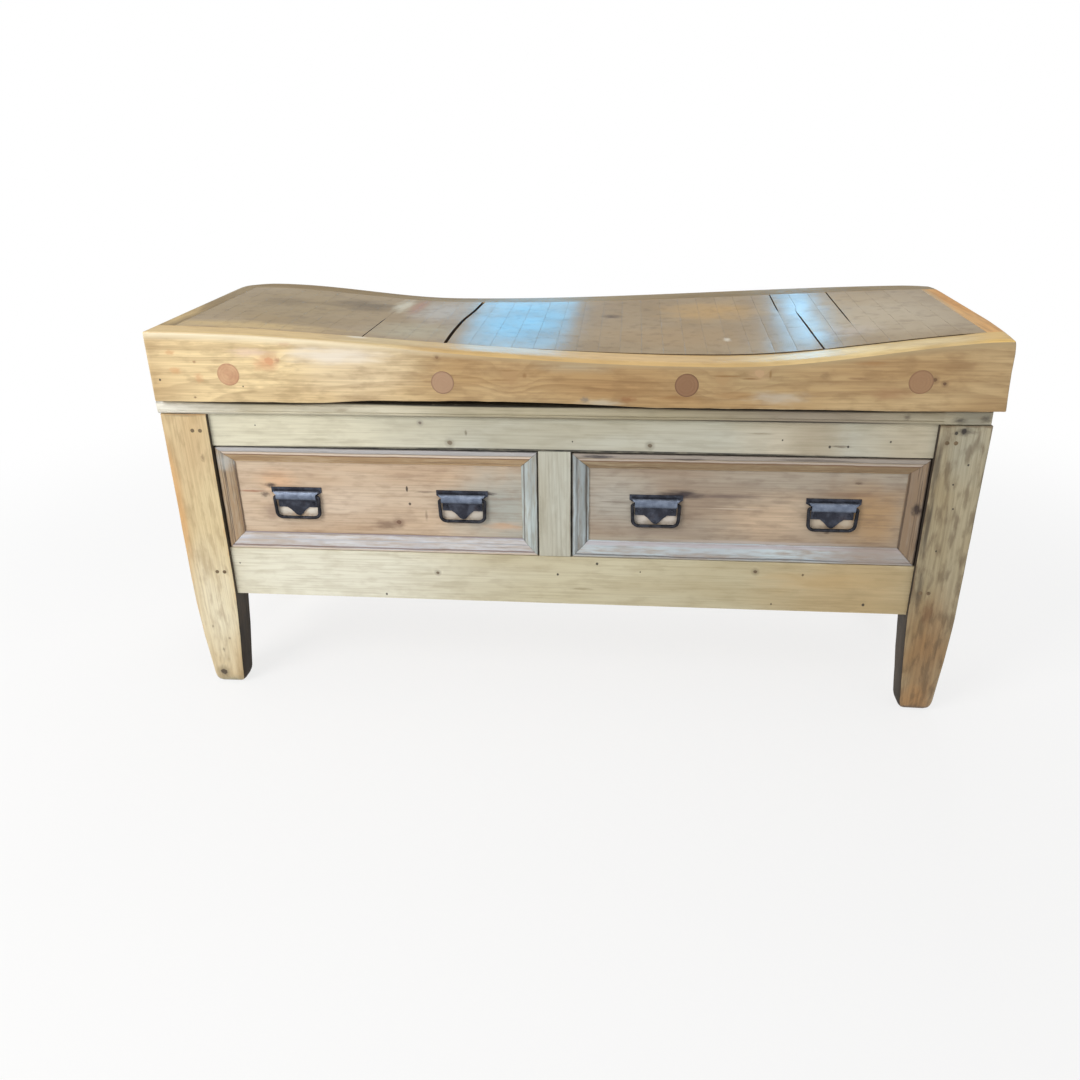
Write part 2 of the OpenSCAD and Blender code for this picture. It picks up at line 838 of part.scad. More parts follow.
module drawer_front(side) {
  color([0.8, 0.62, 0.46])
    difference() {
      translate([drawer_x0(side), drawer_y, drawer_z])
        cube([drawer_x1(side) - drawer_x0(side), front_t, drawer_h]);
      dovetails(drawer_x0(side), drawer_x1(side));
      bottom_board(drawer_x0(side), drawer_x1(side));
      at_screws(side)
        translate([0, 0, -screw_l])
          cylinder(h = screw_l + over, d = screw_dia + 2*nail_fit, $fn = 24);
    }
}

module left_drawer_front() { drawer_front(LEFT); }

module right_drawer_front() { drawer_front(RIGHT); }

// Height of the moulding over the panel, at distance w from the drawer's edge: an outer
// fillet, a small step down, and a round that falls to the inner fillet
fillet_w = mould_w*0.22;
inner_w = mould_w*0.88;
fillet_t = mould_t*0.18;
step_t = mould_t*0.86;
round_t = mould_t*0.3;
function round_h(w) = round_t + (step_t - round_t)*cos(90*(w - fillet_w)/(inner_w - fillet_w));
MOULDING = concat(
  [[0, 0], [0, mould_t - 1], [1, mould_t], [fillet_w, mould_t]],
  [for (w = steps(fillet_w, inner_w, 8)) [w, round_h(w)]],
  [[inner_w, fillet_t], [mould_w, fillet_t], [mould_w, 0]]
);

// A mitred length of moulding, l long at its outer edge. It lies along X on the drawer's
// face, with its outer edge at the origin and its width towards +Z.
module mitred_length(l) {
  inset = mitre_gap/2*sqrt(2);
  intersection() {
    rotate([0, 90, 0])
      translate([0, 0, -l/2])
        linear_extrude(height = l)
          polygon([for (p = MOULDING) [-p[0], -p[1]]]);
    rotate([90, 0, 0])
      translate([0, 0, -over])
        linear_extrude(height = mould_t + 2*over)
          polygon([
            [-l/2 + inset, 0], [l/2 - inset, 0],
            [l/2 - inset - mould_w, mould_w], [-l/2 + inset + mould_w, mould_w]
          ]);
  }
}

module drawer_moulding(side) {
  w = drawer_x1(side) - drawer_x0(side);
  color([0.72, 0.7, 0.66])
    translate([drawer_mid(side), drawer_y, drawer_z + drawer_h/2])
      for (turn = [0:3])
        rotate([0, turn*90, 0])
          translate([0, 0, -(turn % 2 == 0 ? drawer_h : w)/2])
            mitred_length(turn % 2 == 0 ? w : drawer_h);
}

module left_drawer_moulding() { drawer_moulding(LEFT); }

module right_drawer_moulding() { drawer_moulding(RIGHT); }

// A drawer side, with its tails, its groove and its dado
module drawer_side(side, hand) {
  x0 = drawer_x0(side);
  x1 = drawer_x1(side);
  color([0.8, 0.7, 0.52])
    difference() {
      union() {
        translate([hand == LEFT ? x0 : x1 - drawer_side_t, drawer_y + front_t, side_z])
          cube([drawer_side_t, drawer_l - front_t, side_h]);
        intersection() {
          dovetails(x0, x1);
          translate([hand == LEFT ? x0 - over : x1 - drawer_side_t - over, drawer_y, side_z])
            cube([drawer_side_t + 2*over, front_t + over, side_h]);
        }
      }
      bottom_board(x0, x1);
      rear_board(x0, x1);
    }
}

module left_drawer_left_side() { drawer_side(LEFT, LEFT); }

module left_drawer_right_side() { drawer_side(LEFT, RIGHT); }

module right_drawer_left_side() { drawer_side(RIGHT, LEFT); }

module right_drawer_right_side() { drawer_side(RIGHT, RIGHT); }

module drawer_back(side) {
  color([0.78, 0.68, 0.5])
    rear_board(drawer_x0(side), drawer_x1(side));
}

module left_drawer_back() { drawer_back(LEFT); }

module right_drawer_back() { drawer_back(RIGHT); }

module drawer_bottom(side) {
  color([0.76, 0.66, 0.48])
    bottom_board(drawer_x0(side), drawer_x1(side));
}

module left_drawer_bottom() { drawer_bottom(LEFT); }

module right_drawer_bottom() { drawer_bottom(RIGHT); }

module drawer_screws(side) {
  color([0.2, 0.2, 0.21])
    at_screws(side) {
      translate([0, 0, -screw_l + nail_fit])
        cylinder(h = screw_l + plate_t, d = screw_dia, $fn = 24);
      difference() {
        translate([0, 0, plate_t])
          cylinder(h = 1.6, d1 = screw_head, d2 = screw_head*0.7, $fn = 32);
        translate([-screw_head, -0.5, plate_t + 0.9])
          cube([2*screw_head, 1, 2]);
      }
    }
}

module left_drawer_screws() { drawer_screws(LEFT); }

module right_drawer_screws() { drawer_screws(RIGHT); }

// Middle of handle 1 to 4, from left to right
function handle_mid(index) = index < 3
  ? drawer_mid(LEFT) + (index == 1 ? -handle_x : handle_x)
  : drawer_mid(RIGHT) + (index == 3 ? -handle_x : handle_x);

// Outline of the plate from its front: the top strip, the part behind the barrel and the
// lower plate with its pointed tip
module plate_outline() {
  translate([-strip_w/2, -strip_h])
    square([strip_w, strip_h]);
  polygon(concat(
    [[-strip_w/2, -strip_h], [-plate_w/2, -strip_h - barrel_h/2], [-plate_w/2, -strip_h - barrel_h - plate_h]],
    [for (x = steps(-tip_w/2, tip_w/2, 16))
      [x, -strip_h - barrel_h - plate_h - tip_h*swell(2*x/tip_w)]],
    [[plate_w/2, -strip_h - barrel_h - plate_h], [plate_w/2, -strip_h - barrel_h/2], [strip_w/2, -strip_h]]
  ));
}

// The barrel seen from its front: full width at its top, notched for the bail's arms below
module barrel_outline() {
  notch = bail_dia/2 + 0.6;
  polygon([
    [-strip_w/2 + 3, barrel_h/2], [strip_w/2 - 3, barrel_h/2],
    [barrel_hw + 2, notch], [barrel_hw, notch], [barrel_hw, -barrel_h/2],
    [-barrel_hw, -barrel_h/2], [-barrel_hw, notch], [-barrel_hw - 2, notch]
  ]);
}

// Iron plate with the rolled barrel that the bail turns in
module handle_plate(index) {
  color([0.27, 0.29, 0.33])
    difference() {
      union() {
        translate([handle_mid(index), drawer_y, handle_z])
          rotate([90, 0, 0])
            linear_extrude(height = plate_t)
              plate_outline();
        intersection() {
          translate([handle_mid(index), 0, axis_z])
            union() {
              translate([-strip_w/2, axis_y, 0])
                rotate([0, 90, 0])
                  cylinder(h = strip_w, r = barrel_r, $fn = 64);
              translate([-strip_w/2, axis_y, -barrel_r])
                cube([strip_w, drawer_y - plate_t - axis_y, 2*barrel_r]);
            }
          translate([handle_mid(index), drawer_y, axis_z])
            rotate([90, 0, 0])
              linear_extrude(height = 4*barrel_r)
                barrel_outline();
        }
      }
      translate([handle_mid(index) - strip_w, axis_y, axis_z])
        rotate([0, 90, 0])
          cylinder(h = 2*strip_w, d = bail_dia + 2*bail_fit, $fn = 48);
      at_screws(index < 3 ? LEFT : RIGHT)
        cylinder(h = plate_t + over, d = screw_dia + 2*nail_fit, $fn = 24);
    }
}

module handle_plate_1() { handle_plate(1); }

module handle_plate_2() { handle_plate(2); }

module handle_plate_3() { handle_plate(3); }

module handle_plate_4() { handle_plate(4); }

// A quarter bend of the bail's rod round a centre in the XZ plane
module bend(x, z, r, from) {
  translate([x, 0, z])
    rotate([90, 0, 0])
      rotate([0, 0, from])
        rotate_extrude(angle = 90, $fn = 96)
          translate([r, 0])
            circle(d = bail_dia, $fn = 32);
}

// One half of the bail, from its end in the barrel to the middle of its lower bar
module bail_half() {
  top_x = bail_hw - bend_top;
  low_x = bail_hw - bend_low;
  translate([barrel_hw - bail_pin, 0, 0])
    rotate([0, 90, 0])
      cylinder(h = top_x - barrel_hw + bail_pin, d = bail_dia, $fn = 32);
  bend(top_x, -bend_top, bend_top, 0);
  translate([bail_hw, 0, bend_low - bail_drop])
    cylinder(h = bail_drop - bend_low - bend_top, d = bail_dia, $fn = 32);
  bend(low_x, bend_low - bail_drop, bend_low, -90);
  translate([0, 0, -bail_drop])
    rotate([0, 90, 0])
      cylinder(h = low_x, d = bail_dia, $fn = 32);
}

module handle_bail(index) {
  color([0.16, 0.17, 0.2])
    translate([handle_mid(index), axis_y, axis_z]) {
      bail_half();
      mirror([1, 0, 0])
        bail_half();
    }
}

module handle_bail_1() { handle_bail(1); }

module handle_bail_2() { handle_bail(2); }

module handle_bail_3() { handle_bail(3); }

module handle_bail_4() { handle_bail(4); }

block_front_board();
block_back_board();
block_left_end();
block_right_end();
core_left();
core_middle_left();
core_middle_right();
core_right();
tie_rods();
tie_rod_washers();
tie_rod_nuts();
front_plugs();
back_plugs();
front_left_leg();
front_right_leg();
back_left_leg();
back_right_leg();
platform_front();
platform_middle();
platform_back();
front_top_rail();
front_bottom_rail();
front_muntin();
left_top_rail();
left_bottom_rail();
left_panel();
right_top_rail();
right_bottom_rail();
right_panel();
back_top_rail();
back_bottom_rail();
back_panel();
cross_bearers();
left_runner();
centre_runner();
right_runner();
drawer_guides();
tenon_nails();
left_drawer_front();
left_drawer_moulding();
left_drawer_left_side();
left_drawer_right_side();
left_drawer_back();
left_drawer_bottom();
left_drawer_screws();
right_drawer_front();
right_drawer_moulding();
right_drawer_left_side();
right_drawer_right_side();
right_drawer_back();
right_drawer_bottom();
right_drawer_screws();
handle_plate_1();
handle_plate_2();
handle_plate_3();
handle_plate_4();
handle_bail_1();
handle_bail_2();
handle_bail_3();
handle_bail_4();
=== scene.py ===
"""A worn butcher block on a low pine stand with two drawers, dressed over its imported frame."""
import logging
import math
from collections.abc import Callable, Iterable, Sequence
from dataclasses import dataclass
from enum import Enum

import bmesh
import bpy
from bmesh.types import BMesh, BMFace, BMVert
from bpy.types import Material, Mesh, Node, NodeSocket, NodeTree, Object
from mathutils import Matrix, Vector, noise


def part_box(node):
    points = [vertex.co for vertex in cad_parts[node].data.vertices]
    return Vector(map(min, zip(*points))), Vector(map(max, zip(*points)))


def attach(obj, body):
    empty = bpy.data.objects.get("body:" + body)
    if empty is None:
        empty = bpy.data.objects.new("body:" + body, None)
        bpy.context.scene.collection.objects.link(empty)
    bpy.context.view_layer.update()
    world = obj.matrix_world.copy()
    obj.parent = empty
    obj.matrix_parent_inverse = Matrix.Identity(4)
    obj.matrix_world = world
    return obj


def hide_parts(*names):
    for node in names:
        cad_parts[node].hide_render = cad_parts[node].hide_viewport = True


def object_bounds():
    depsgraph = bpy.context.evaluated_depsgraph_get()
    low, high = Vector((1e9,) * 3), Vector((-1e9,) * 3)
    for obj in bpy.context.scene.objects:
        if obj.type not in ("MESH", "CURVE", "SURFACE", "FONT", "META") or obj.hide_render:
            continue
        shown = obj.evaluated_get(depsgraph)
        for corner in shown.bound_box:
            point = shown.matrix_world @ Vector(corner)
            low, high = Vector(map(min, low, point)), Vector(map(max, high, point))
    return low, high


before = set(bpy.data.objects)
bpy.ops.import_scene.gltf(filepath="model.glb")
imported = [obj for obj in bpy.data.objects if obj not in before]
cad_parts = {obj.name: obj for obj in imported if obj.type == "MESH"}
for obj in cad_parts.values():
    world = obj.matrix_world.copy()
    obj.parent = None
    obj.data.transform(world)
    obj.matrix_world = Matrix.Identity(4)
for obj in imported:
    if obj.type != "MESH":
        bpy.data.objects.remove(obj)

CAD_BOX = [[float(value) for value in corner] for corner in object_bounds()]
Tint = tuple[int, int, int]
Triple = tuple[float, float, float]
Span = tuple[float, float]
Pairs = tuple[Span, ...]
ORIGIN: Triple = (0.0, 0.0, 0.0)
WEAR_SEED = 7
log = logging.getLogger("butcher_block")


class Axis(Enum):
    """The way a length of timber runs."""

    X = 0
    Y = 1
    Z = 2

    @property
    def along(self) -> Vector:
        """The unit vector of this axis."""
        return Vector([1.0 if place == self.value else 0.0 for place in range(3)])


def shade(tint: Tint) -> tuple[float, float, float, float]:
    """Turn a colour as the eye reads it, from 0 to 255, into the linear one that a shader takes."""
    parts = [value / 255 for value in tint]
    linear = [part / 12.92 if part <= 0.04045 else ((part + 0.055) / 1.055) ** 2.4 for part in parts]
    return (linear[0], linear[1], linear[2], 1.0)


def chance(*seeds: float) -> float:
    """Give the same number from 0 to 1 each time for the same seeds."""
    total = sum((place + 1) * 12.9898 * seed for place, seed in enumerate(seeds))
    return (math.sin(total + 4.1414) * 43758.5453) % 1.0


def swell(share: float) -> float:
    """Height of a smooth swell, 1 in its middle and 0 where the share reaches 1 or -1."""
    return (1 + math.cos(math.pi * share)) / 2 if abs(share) < 1 else 0.0


def trace(points: Pairs, place: float) -> float:
    """Read a value between listed points.

    Args:
        points: Places in rising order, each with its value.
        place: Where to read.

    Returns:
        The value at that place, held level past both ends.
    """
    if place <= points[0][0]:
        return points[0][1]
    for (start, first), (end, last) in zip(points, points[1:]):
        if place <= end:
            return first + (last - first) * (place - start) / (end - start)
    return points[-1][1]


# Node graphs


class Graph:
    """Places shader nodes in one tree and joins them."""

    def __init__(self, tree: NodeTree) -> None:
        """Start on a tree."""
        self.tree = tree
        self.count = 0

    def node(self, kind: str, **settings: object) -> Node:
        """Place a node.

        Args:
            kind: Blender's name for the node type.
            settings: Properties of the node, by name.

        Returns:
            The new node.
        """
        made = self.tree.nodes.new(kind)
        made.location = (200 * (self.count % 12), -220 * (self.count // 12))
        self.count += 1
        for name, value in settings.items():
            setattr(made, name, value)
        return made

    def feed(self, socket: NodeSocket, value: object) -> None:
        """Link a socket to another one, or set its own value."""
        if isinstance(value, NodeSocket):
            self.tree.links.new(value, socket)
        elif value is not None:
            socket.default_value = value

    def maths(self, operation: str, first: object, second: object = 0.0) -> NodeSocket:
        """Join two numbers by an operation and return the result."""
        made = self.node("ShaderNodeMath", operation=operation)
        self.feed(made.inputs[0], first)
        self.feed(made.inputs[1], second)
        return made.outputs[0]

    def times(self, first: object, second: object) -> NodeSocket:
        """Multiply two numbers."""
        return self.maths("MULTIPLY", first, second)

    def plus(self, first: object, *others: object) -> NodeSocket:
        """Add numbers, one after another."""
        for other in others:
            first = self.maths("ADD", first, other)
        return first

    def less(self, first: object, second: object) -> NodeSocket:
        """Take the second number from the first."""
        return self.maths("SUBTRACT", first, second)

    def vector(self, operation: str, first: object, second: object = None) -> NodeSocket:
        """Join two vectors by an operation and return the vector or the number it gives."""
        made = self.node("ShaderNodeVectorMath", operation=operation)
        self.feed(made.inputs[0], first)
        self.feed(made.inputs[1], second)
        return made.outputs["Value" if operation == "LENGTH" else "Vector"]

    def parts(self, vector: object) -> bpy.types.bpy_prop_collection:
        """Split a vector into its X, Y and Z."""
        made = self.node("ShaderNodeSeparateXYZ")
        self.feed(made.inputs[0], vector)
        return made.outputs

    def noise(self, place: object, scale: float, detail: float = 2.0) -> NodeSocket:
        """Give a cloud of values from 0 to 1 at a place, with its scale and detail."""
        made = self.node("ShaderNodeTexNoise")
        self.feed(made.inputs["Vector"], place)
        made.inputs["Scale"].default_value = scale
        made.inputs["Detail"].default_value = detail
        return made.outputs["Fac"]

    def streaks(self, place: object, along: float, across: float, detail: float = 2.0) -> NodeSocket:
        """Give a cloud that is drawn out along the grain, from its scales along and across it."""
        return self.noise(self.vector("MULTIPLY", place, (along, across, across)), 1.0, detail)

    def between(self, value: object, low: object, high: object) -> NodeSocket:
        """Rise smoothly from 0 at low to 1 at high."""
        made = self.node("ShaderNodeMapRange", interpolation_type="SMOOTHSTEP")
        self.feed(made.inputs["Value"], value)
        self.feed(made.inputs[1], low)
        self.feed(made.inputs[2], high)
        return made.outputs["Result"]

    def spread(self, value: object, low: float, high: float) -> NodeSocket:
        """Map 0 to 1 on to the range from low to high."""
        made = self.node("ShaderNodeMapRange")
        self.feed(made.inputs["Value"], value)
        made.inputs[3].default_value = low
        made.inputs[4].default_value = high
        return made.outputs["Result"]

    def blend(self, share: object, first: object, second: object) -> NodeSocket:
        """Mix two colours by a share of the second one."""
        made = self.node("ShaderNodeMix", data_type="RGBA")
        self.feed(made.inputs[0], share)
        self.feed(made.inputs[6], first)
        self.feed(made.inputs[7], second)
        return made.outputs[2]

    def lay(self, colour: object, tint: Tint, mask: object, share: object) -> NodeSocket:
        """Lay a tint over a colour by a share of a mask."""
        return self.blend(self.times(mask, share), colour, shade(tint))

    def attribute(self, name: str, output: str = "Vector") -> NodeSocket:
        """Read an attribute of the mesh."""
        return self.node("ShaderNodeAttribute", attribute_name=name).outputs[output]

    def object_place(self) -> NodeSocket:
        """Give the place on the object."""
        return self.node("ShaderNodeTexCoord").outputs["Object"]

    def effect(self, tree: NodeTree, **values: object) -> bpy.types.bpy_prop_collection:
        """Place a shared effect with values or links for its inputs, and return its outputs."""
        made = self.node("ShaderNodeGroup", node_tree=tree)
        for name, value in values.items():
            self.feed(made.inputs[name], value)
        return made.outputs


class Effect:
    """A shader node group in the making, which takes a place and named values and gives masks."""

    def __init__(self, name: str, gives: Sequence[str], **takes: object) -> None:
        """Make the group's sockets.

        Args:
            name: The group's name.
            gives: Names of the outputs.
            takes: Inputs beside the place, by name, with a default number or vector.
        """
        self.tree = bpy.data.node_groups.new(name, "ShaderNodeTree")
        for label, value in {"Vector": ORIGIN, **takes}.items():
            kind = "NodeSocketFloat" if isinstance(value, float) else "NodeSocketVector"
            socket = self.tree.interface.new_socket(label, in_out="INPUT", socket_type=kind)
            socket.default_value = value
        for label in gives:
            self.tree.interface.new_socket(label, in_out="OUTPUT", socket_type="NodeSocketFloat")
        self.graph = Graph(self.tree)
        self.takes = self.graph.node("NodeGroupInput").outputs
        self.place = self.takes["Vector"]

    def give(self, **masks: NodeSocket) -> NodeTree:
        """Join the outputs by name and return the finished group."""
        ending = self.graph.node("NodeGroupOutput")
        for name, mask in masks.items():
            self.graph.feed(ending.inputs[name], mask)
        return self.tree


class Effects:
    """The shader node groups that several finishes share, each built once."""

    def __init__(self) -> None:
        """Build every group."""
        self.pine = self.pine_grain()
        self.knot = self.knot_figure()
        self.mark = self.soft_mark()
        self.edge = self.edge_wear()
        self.end_grain = self.end_grain_figure()
        self.streak = self.weather_streak()
        self.iron = self.iron_skin()

    @staticmethod
    def pine_grain() -> NodeTree:
        """Growth rings round a pith line, with fibres and broad patches of colour."""
        made = Effect("pine_grain", ("Ring", "Fibre", "Patch", "Mottle"),
                      Spacing=0.008, Warp=0.012, Lean=0.03, Pull=0.0)
        graph = made.graph
        place = made.place
        spacing = made.takes["Spacing"]
        sway = graph.times(graph.less(graph.streaks(place, 1.1, 5.0), 0.5), made.takes["Warp"])
        ripple = graph.times(graph.less(graph.streaks(place, 7.0, 34.0), 0.5), spacing)
        parts = graph.parts(place)
        leaning = graph.node("ShaderNodeCombineXYZ")
        graph.feed(leaning.inputs["Y"], graph.plus(parts["Y"], graph.times(parts["X"], made.takes["Lean"])))
        graph.feed(leaning.inputs["Z"], parts["Z"])
        reach = graph.vector("LENGTH", leaning.outputs[0])
        reach = graph.plus(reach, graph.times(sway, 2.0), ripple, made.takes["Pull"])
        turns = graph.maths("DIVIDE", reach, spacing)
        part = graph.maths("FRACT", turns)
        late = graph.times(graph.between(part, 0.25, 0.86), graph.between(part, 1.0, 0.9))
        year = graph.node("ShaderNodeTexWhiteNoise", noise_dimensions="1D")
        graph.feed(year.inputs["W"], graph.maths("FLOOR", turns))
        return made.give(
            Ring=graph.times(late, graph.spread(year.outputs["Value"], 0.35, 1.0)),
            Fibre=graph.between(graph.streaks(place, 8.0, 250.0, 3.0), 0.4, 0.68),
            Patch=graph.between(graph.streaks(place, 2.2, 11.0, 3.0), 0.36, 0.66),
            Mottle=graph.between(graph.streaks(place, 22.0, 70.0, 5.0), 0.46, 0.68))

    @staticmethod
    def knot_figure() -> NodeTree:
        """A knot, the darker wood round it and the push that bends the rings past it."""
        made = Effect("knot", ("Core", "Halo", "Pull"), Place=ORIGIN, Radius=0.01)
        graph = made.graph
        radius = made.takes["Radius"]
        away = graph.vector("SUBTRACT", made.place, made.takes["Place"])
        reach = graph.vector("LENGTH", away)
        uneven = graph.times(graph.less(graph.noise(away, 90.0), 0.5), radius)
        reach = graph.maths("DIVIDE", graph.plus(reach, uneven), radius)
        push = graph.maths("EXPONENT", graph.times(graph.times(reach, reach), -0.16))
        return made.give(Core=graph.between(reach, 1.0, 0.62), Halo=graph.between(reach, 2.6, 0.9),
                         Pull=graph.times(graph.times(push, radius), 1.8))

    @staticmethod
    def soft_mark() -> NodeTree:
        """A stain, smudge, dent, hole, painted shade or painted highlight of a given size with a broken edge.
        """
        made = Effect("soft_mark", ("Mask",), Place=ORIGIN, Size=(0.1, 0.1, 0.1), Break=0.6, Edge=0.8)
        graph = made.graph
        centre = made.takes["Place"]
        away = graph.vector("DIVIDE", graph.vector("SUBTRACT", made.place, centre), made.takes["Size"])
        reach = graph.vector("LENGTH", away)
        moved = graph.vector("ADD", graph.vector("MULTIPLY", centre, (9.0, 9.0, 9.0)), away)
        cloud = graph.less(graph.noise(moved, 2.4, 4.0), 0.5)
        reach = graph.plus(reach, graph.times(cloud, made.takes["Break"]))
        return made.give(Mask=graph.between(reach, 1.0, graph.less(1.0, made.takes["Edge"])))

    @staticmethod
    def edge_wear() -> NodeTree:
        """A mask along the edges of a box, from the second nearest of its faces."""
        made = Effect("edge_wear", ("Mask",), Low=ORIGIN, High=(1.0, 1.0, 1.0), Width=0.008)
        graph = made.graph
        width = made.takes["Width"]
        over = graph.vector("SUBTRACT", made.place, made.takes["Low"])
        under = graph.vector("SUBTRACT", made.takes["High"], made.place)
        parts = graph.parts(graph.vector("MINIMUM", over, under))
        least = graph.maths("MINIMUM", parts["X"], parts["Y"])
        most = graph.maths("MAXIMUM", parts["X"], parts["Y"])
        second = graph.maths("MAXIMUM", least, graph.maths("MINIMUM", most, parts["Z"]))
        cloud = graph.less(graph.noise(made.place, 38.0, 3.0), 0.45)
        second = graph.plus(second, graph.times(cloud, graph.times(width, 3.0)))
        return made.give(Mask=graph.between(second, width, 0.0))

    @staticmethod
    def end_grain_figure() -> NodeTree:
        """Ring arcs and pores on the end of a stick of wood."""
        made = Effect("end_grain", ("Ring", "Pore"), Heart=ORIGIN, Spacing=0.004)
        graph = made.graph
        spacing = made.takes["Spacing"]
        reach = graph.vector("LENGTH", graph.vector("SUBTRACT", made.place, made.takes["Heart"]))
        cloud = graph.less(graph.noise(made.place, 22.0), 0.5)
        uneven = graph.times(cloud, graph.times(spacing, 2.0))
        part = graph.maths("FRACT", graph.maths("DIVIDE", graph.plus(reach, uneven), spacing))
        return made.give(Ring=graph.times(graph.between(part, 0.1, 0.8), graph.between(part, 1.0, 0.85)),
                         Pore=graph.between(graph.noise(made.place, 420.0), 0.5, 0.72))

    @staticmethod
    def weather_streak() -> NodeTree:
        """Long broken streaks and chips that run with the grain."""
        made = Effect("weather_streak", ("Coat", "Crack", "Cloud"), Cover=0.5)
        graph = made.graph
        place = made.place
        long_cloud = graph.times(graph.streaks(place, 6.0, 95.0, 4.0), 0.6)
        small_cloud = graph.times(graph.streaks(place, 36.0, 210.0, 3.0), 0.4)
        level = graph.plus(graph.times(graph.less(1.0, made.takes["Cover"]), 0.4), 0.25)
        return made.give(
            Coat=graph.between(graph.plus(long_cloud, small_cloud), level, graph.plus(level, 0.3)),
            Crack=graph.between(graph.streaks(place, 6.0, 330.0), 0.6, 0.74),
            Cloud=graph.between(graph.streaks(place, 5.0, 20.0, 3.0), 0.34, 0.66))

    @staticmethod
    def iron_skin() -> NodeTree:
        """The uneven tone and pits of old hand-worked iron."""
        made = Effect("iron_skin", ("Tone", "Pit", "Rust"))
        graph = made.graph
        return made.give(Tone=graph.between(graph.noise(made.place, 70.0, 4.0), 0.35, 0.68),
                         Pit=graph.between(graph.noise(made.place, 420.0, 3.0), 0.38, 0.62),
                         Rust=graph.between(graph.noise(made.place, 38.0, 5.0), 0.56, 0.72))


# Finishes


@dataclass(frozen=True)
class Knot:
    """A knot in the wood, at a place in metres on the object."""

    place: Triple
    radius: float
    tint: Tint = (104, 66, 38)


@dataclass(frozen=True)
class Mark:
    """A stain, pale patch, dent, nail hole, painted shade or painted highlight, an ellipsoid round a place on
    the object.
    """

    place: Triple
    size: Triple
    tint: Tint
    strength: float = 0.6
    ragged: float = 0.7
    edge: float = 0.9


def nails(level: float, *rows: Triple) -> tuple[Mark, ...]:
    """Make the dark marks of nails or worm holes on an upright face, each by place, height and radius."""
    return tuple(Mark((x, level, z), (radius, radius * 2, radius * 1.2), (38, 30, 26), 0.9, 0.5, 0.45)
                 for x, z, radius in rows)


def stains_and_painted_light(level: float, rows: Sequence[tuple[float, float, float, float, Tint, float]],
           ragged: float = 1.0) -> tuple[Mark, ...]:
    """Lay soft patches on an upright face, real stains and painted light alike, each by place, height, width,
    height, tint and strength.
    """
    return tuple(Mark((x, level, z), (width, 0.06, height), tint, strength, ragged)
                 for x, z, width, height, tint, strength in rows)


class Finish:
    """The base of every finish: starts a material and closes it on its surface shader."""

    name: str

    def start(self) -> tuple[Material, Graph, Node]:
        """Make an empty material and return it with its graph and its Principled node."""
        material = bpy.data.materials.new(self.name)
        material.use_nodes = True
        return material, Graph(material.node_tree), material.node_tree.nodes["Principled BSDF"]

    @staticmethod
    def cover(graph: Graph, surface: Node, colour: object, roughness: object, height: object,
              depth: float) -> None:
        """Give a surface its colour, its roughness and its relief.

        Args:
            graph: The material's graph.
            surface: Its Principled node.
            colour: The base colour.
            roughness: The roughness.
            height: A height map from 0 to 1.
            depth: The real depth of the relief, in metres.
        """
        bump = graph.node("ShaderNodeBump")
        bump.inputs["Distance"].default_value = depth
        bump.inputs["Strength"].default_value = 1.0
        graph.feed(bump.inputs["Height"], height)
        graph.feed(surface.inputs["Base Color"], colour)
        graph.feed(surface.inputs["Roughness"], roughness)
        graph.feed(surface.inputs["Normal"], bump.outputs["Normal"])

    @staticmethod
    def add_marks(graph: Graph, effects: Effects, place: object, colour: object,
                  marks: Sequence[Mark]) -> object:
        """Lay marks over a colour, one after another.

        Args:
            graph: The material's graph.
            effects: The shared node groups.
            place: The place on the object.
            colour: The colour so far.
            marks: The marks to lay.

        Returns:
            The colour with the marks on it.
        """
        for mark in marks:
            spot = graph.effect(effects.mark, Vector=place, Place=mark.place, Size=mark.size,
                                Break=mark.ragged, Edge=mark.edge)
            colour = graph.lay(colour, mark.tint, spot["Mask"], mark.strength)
        return colour


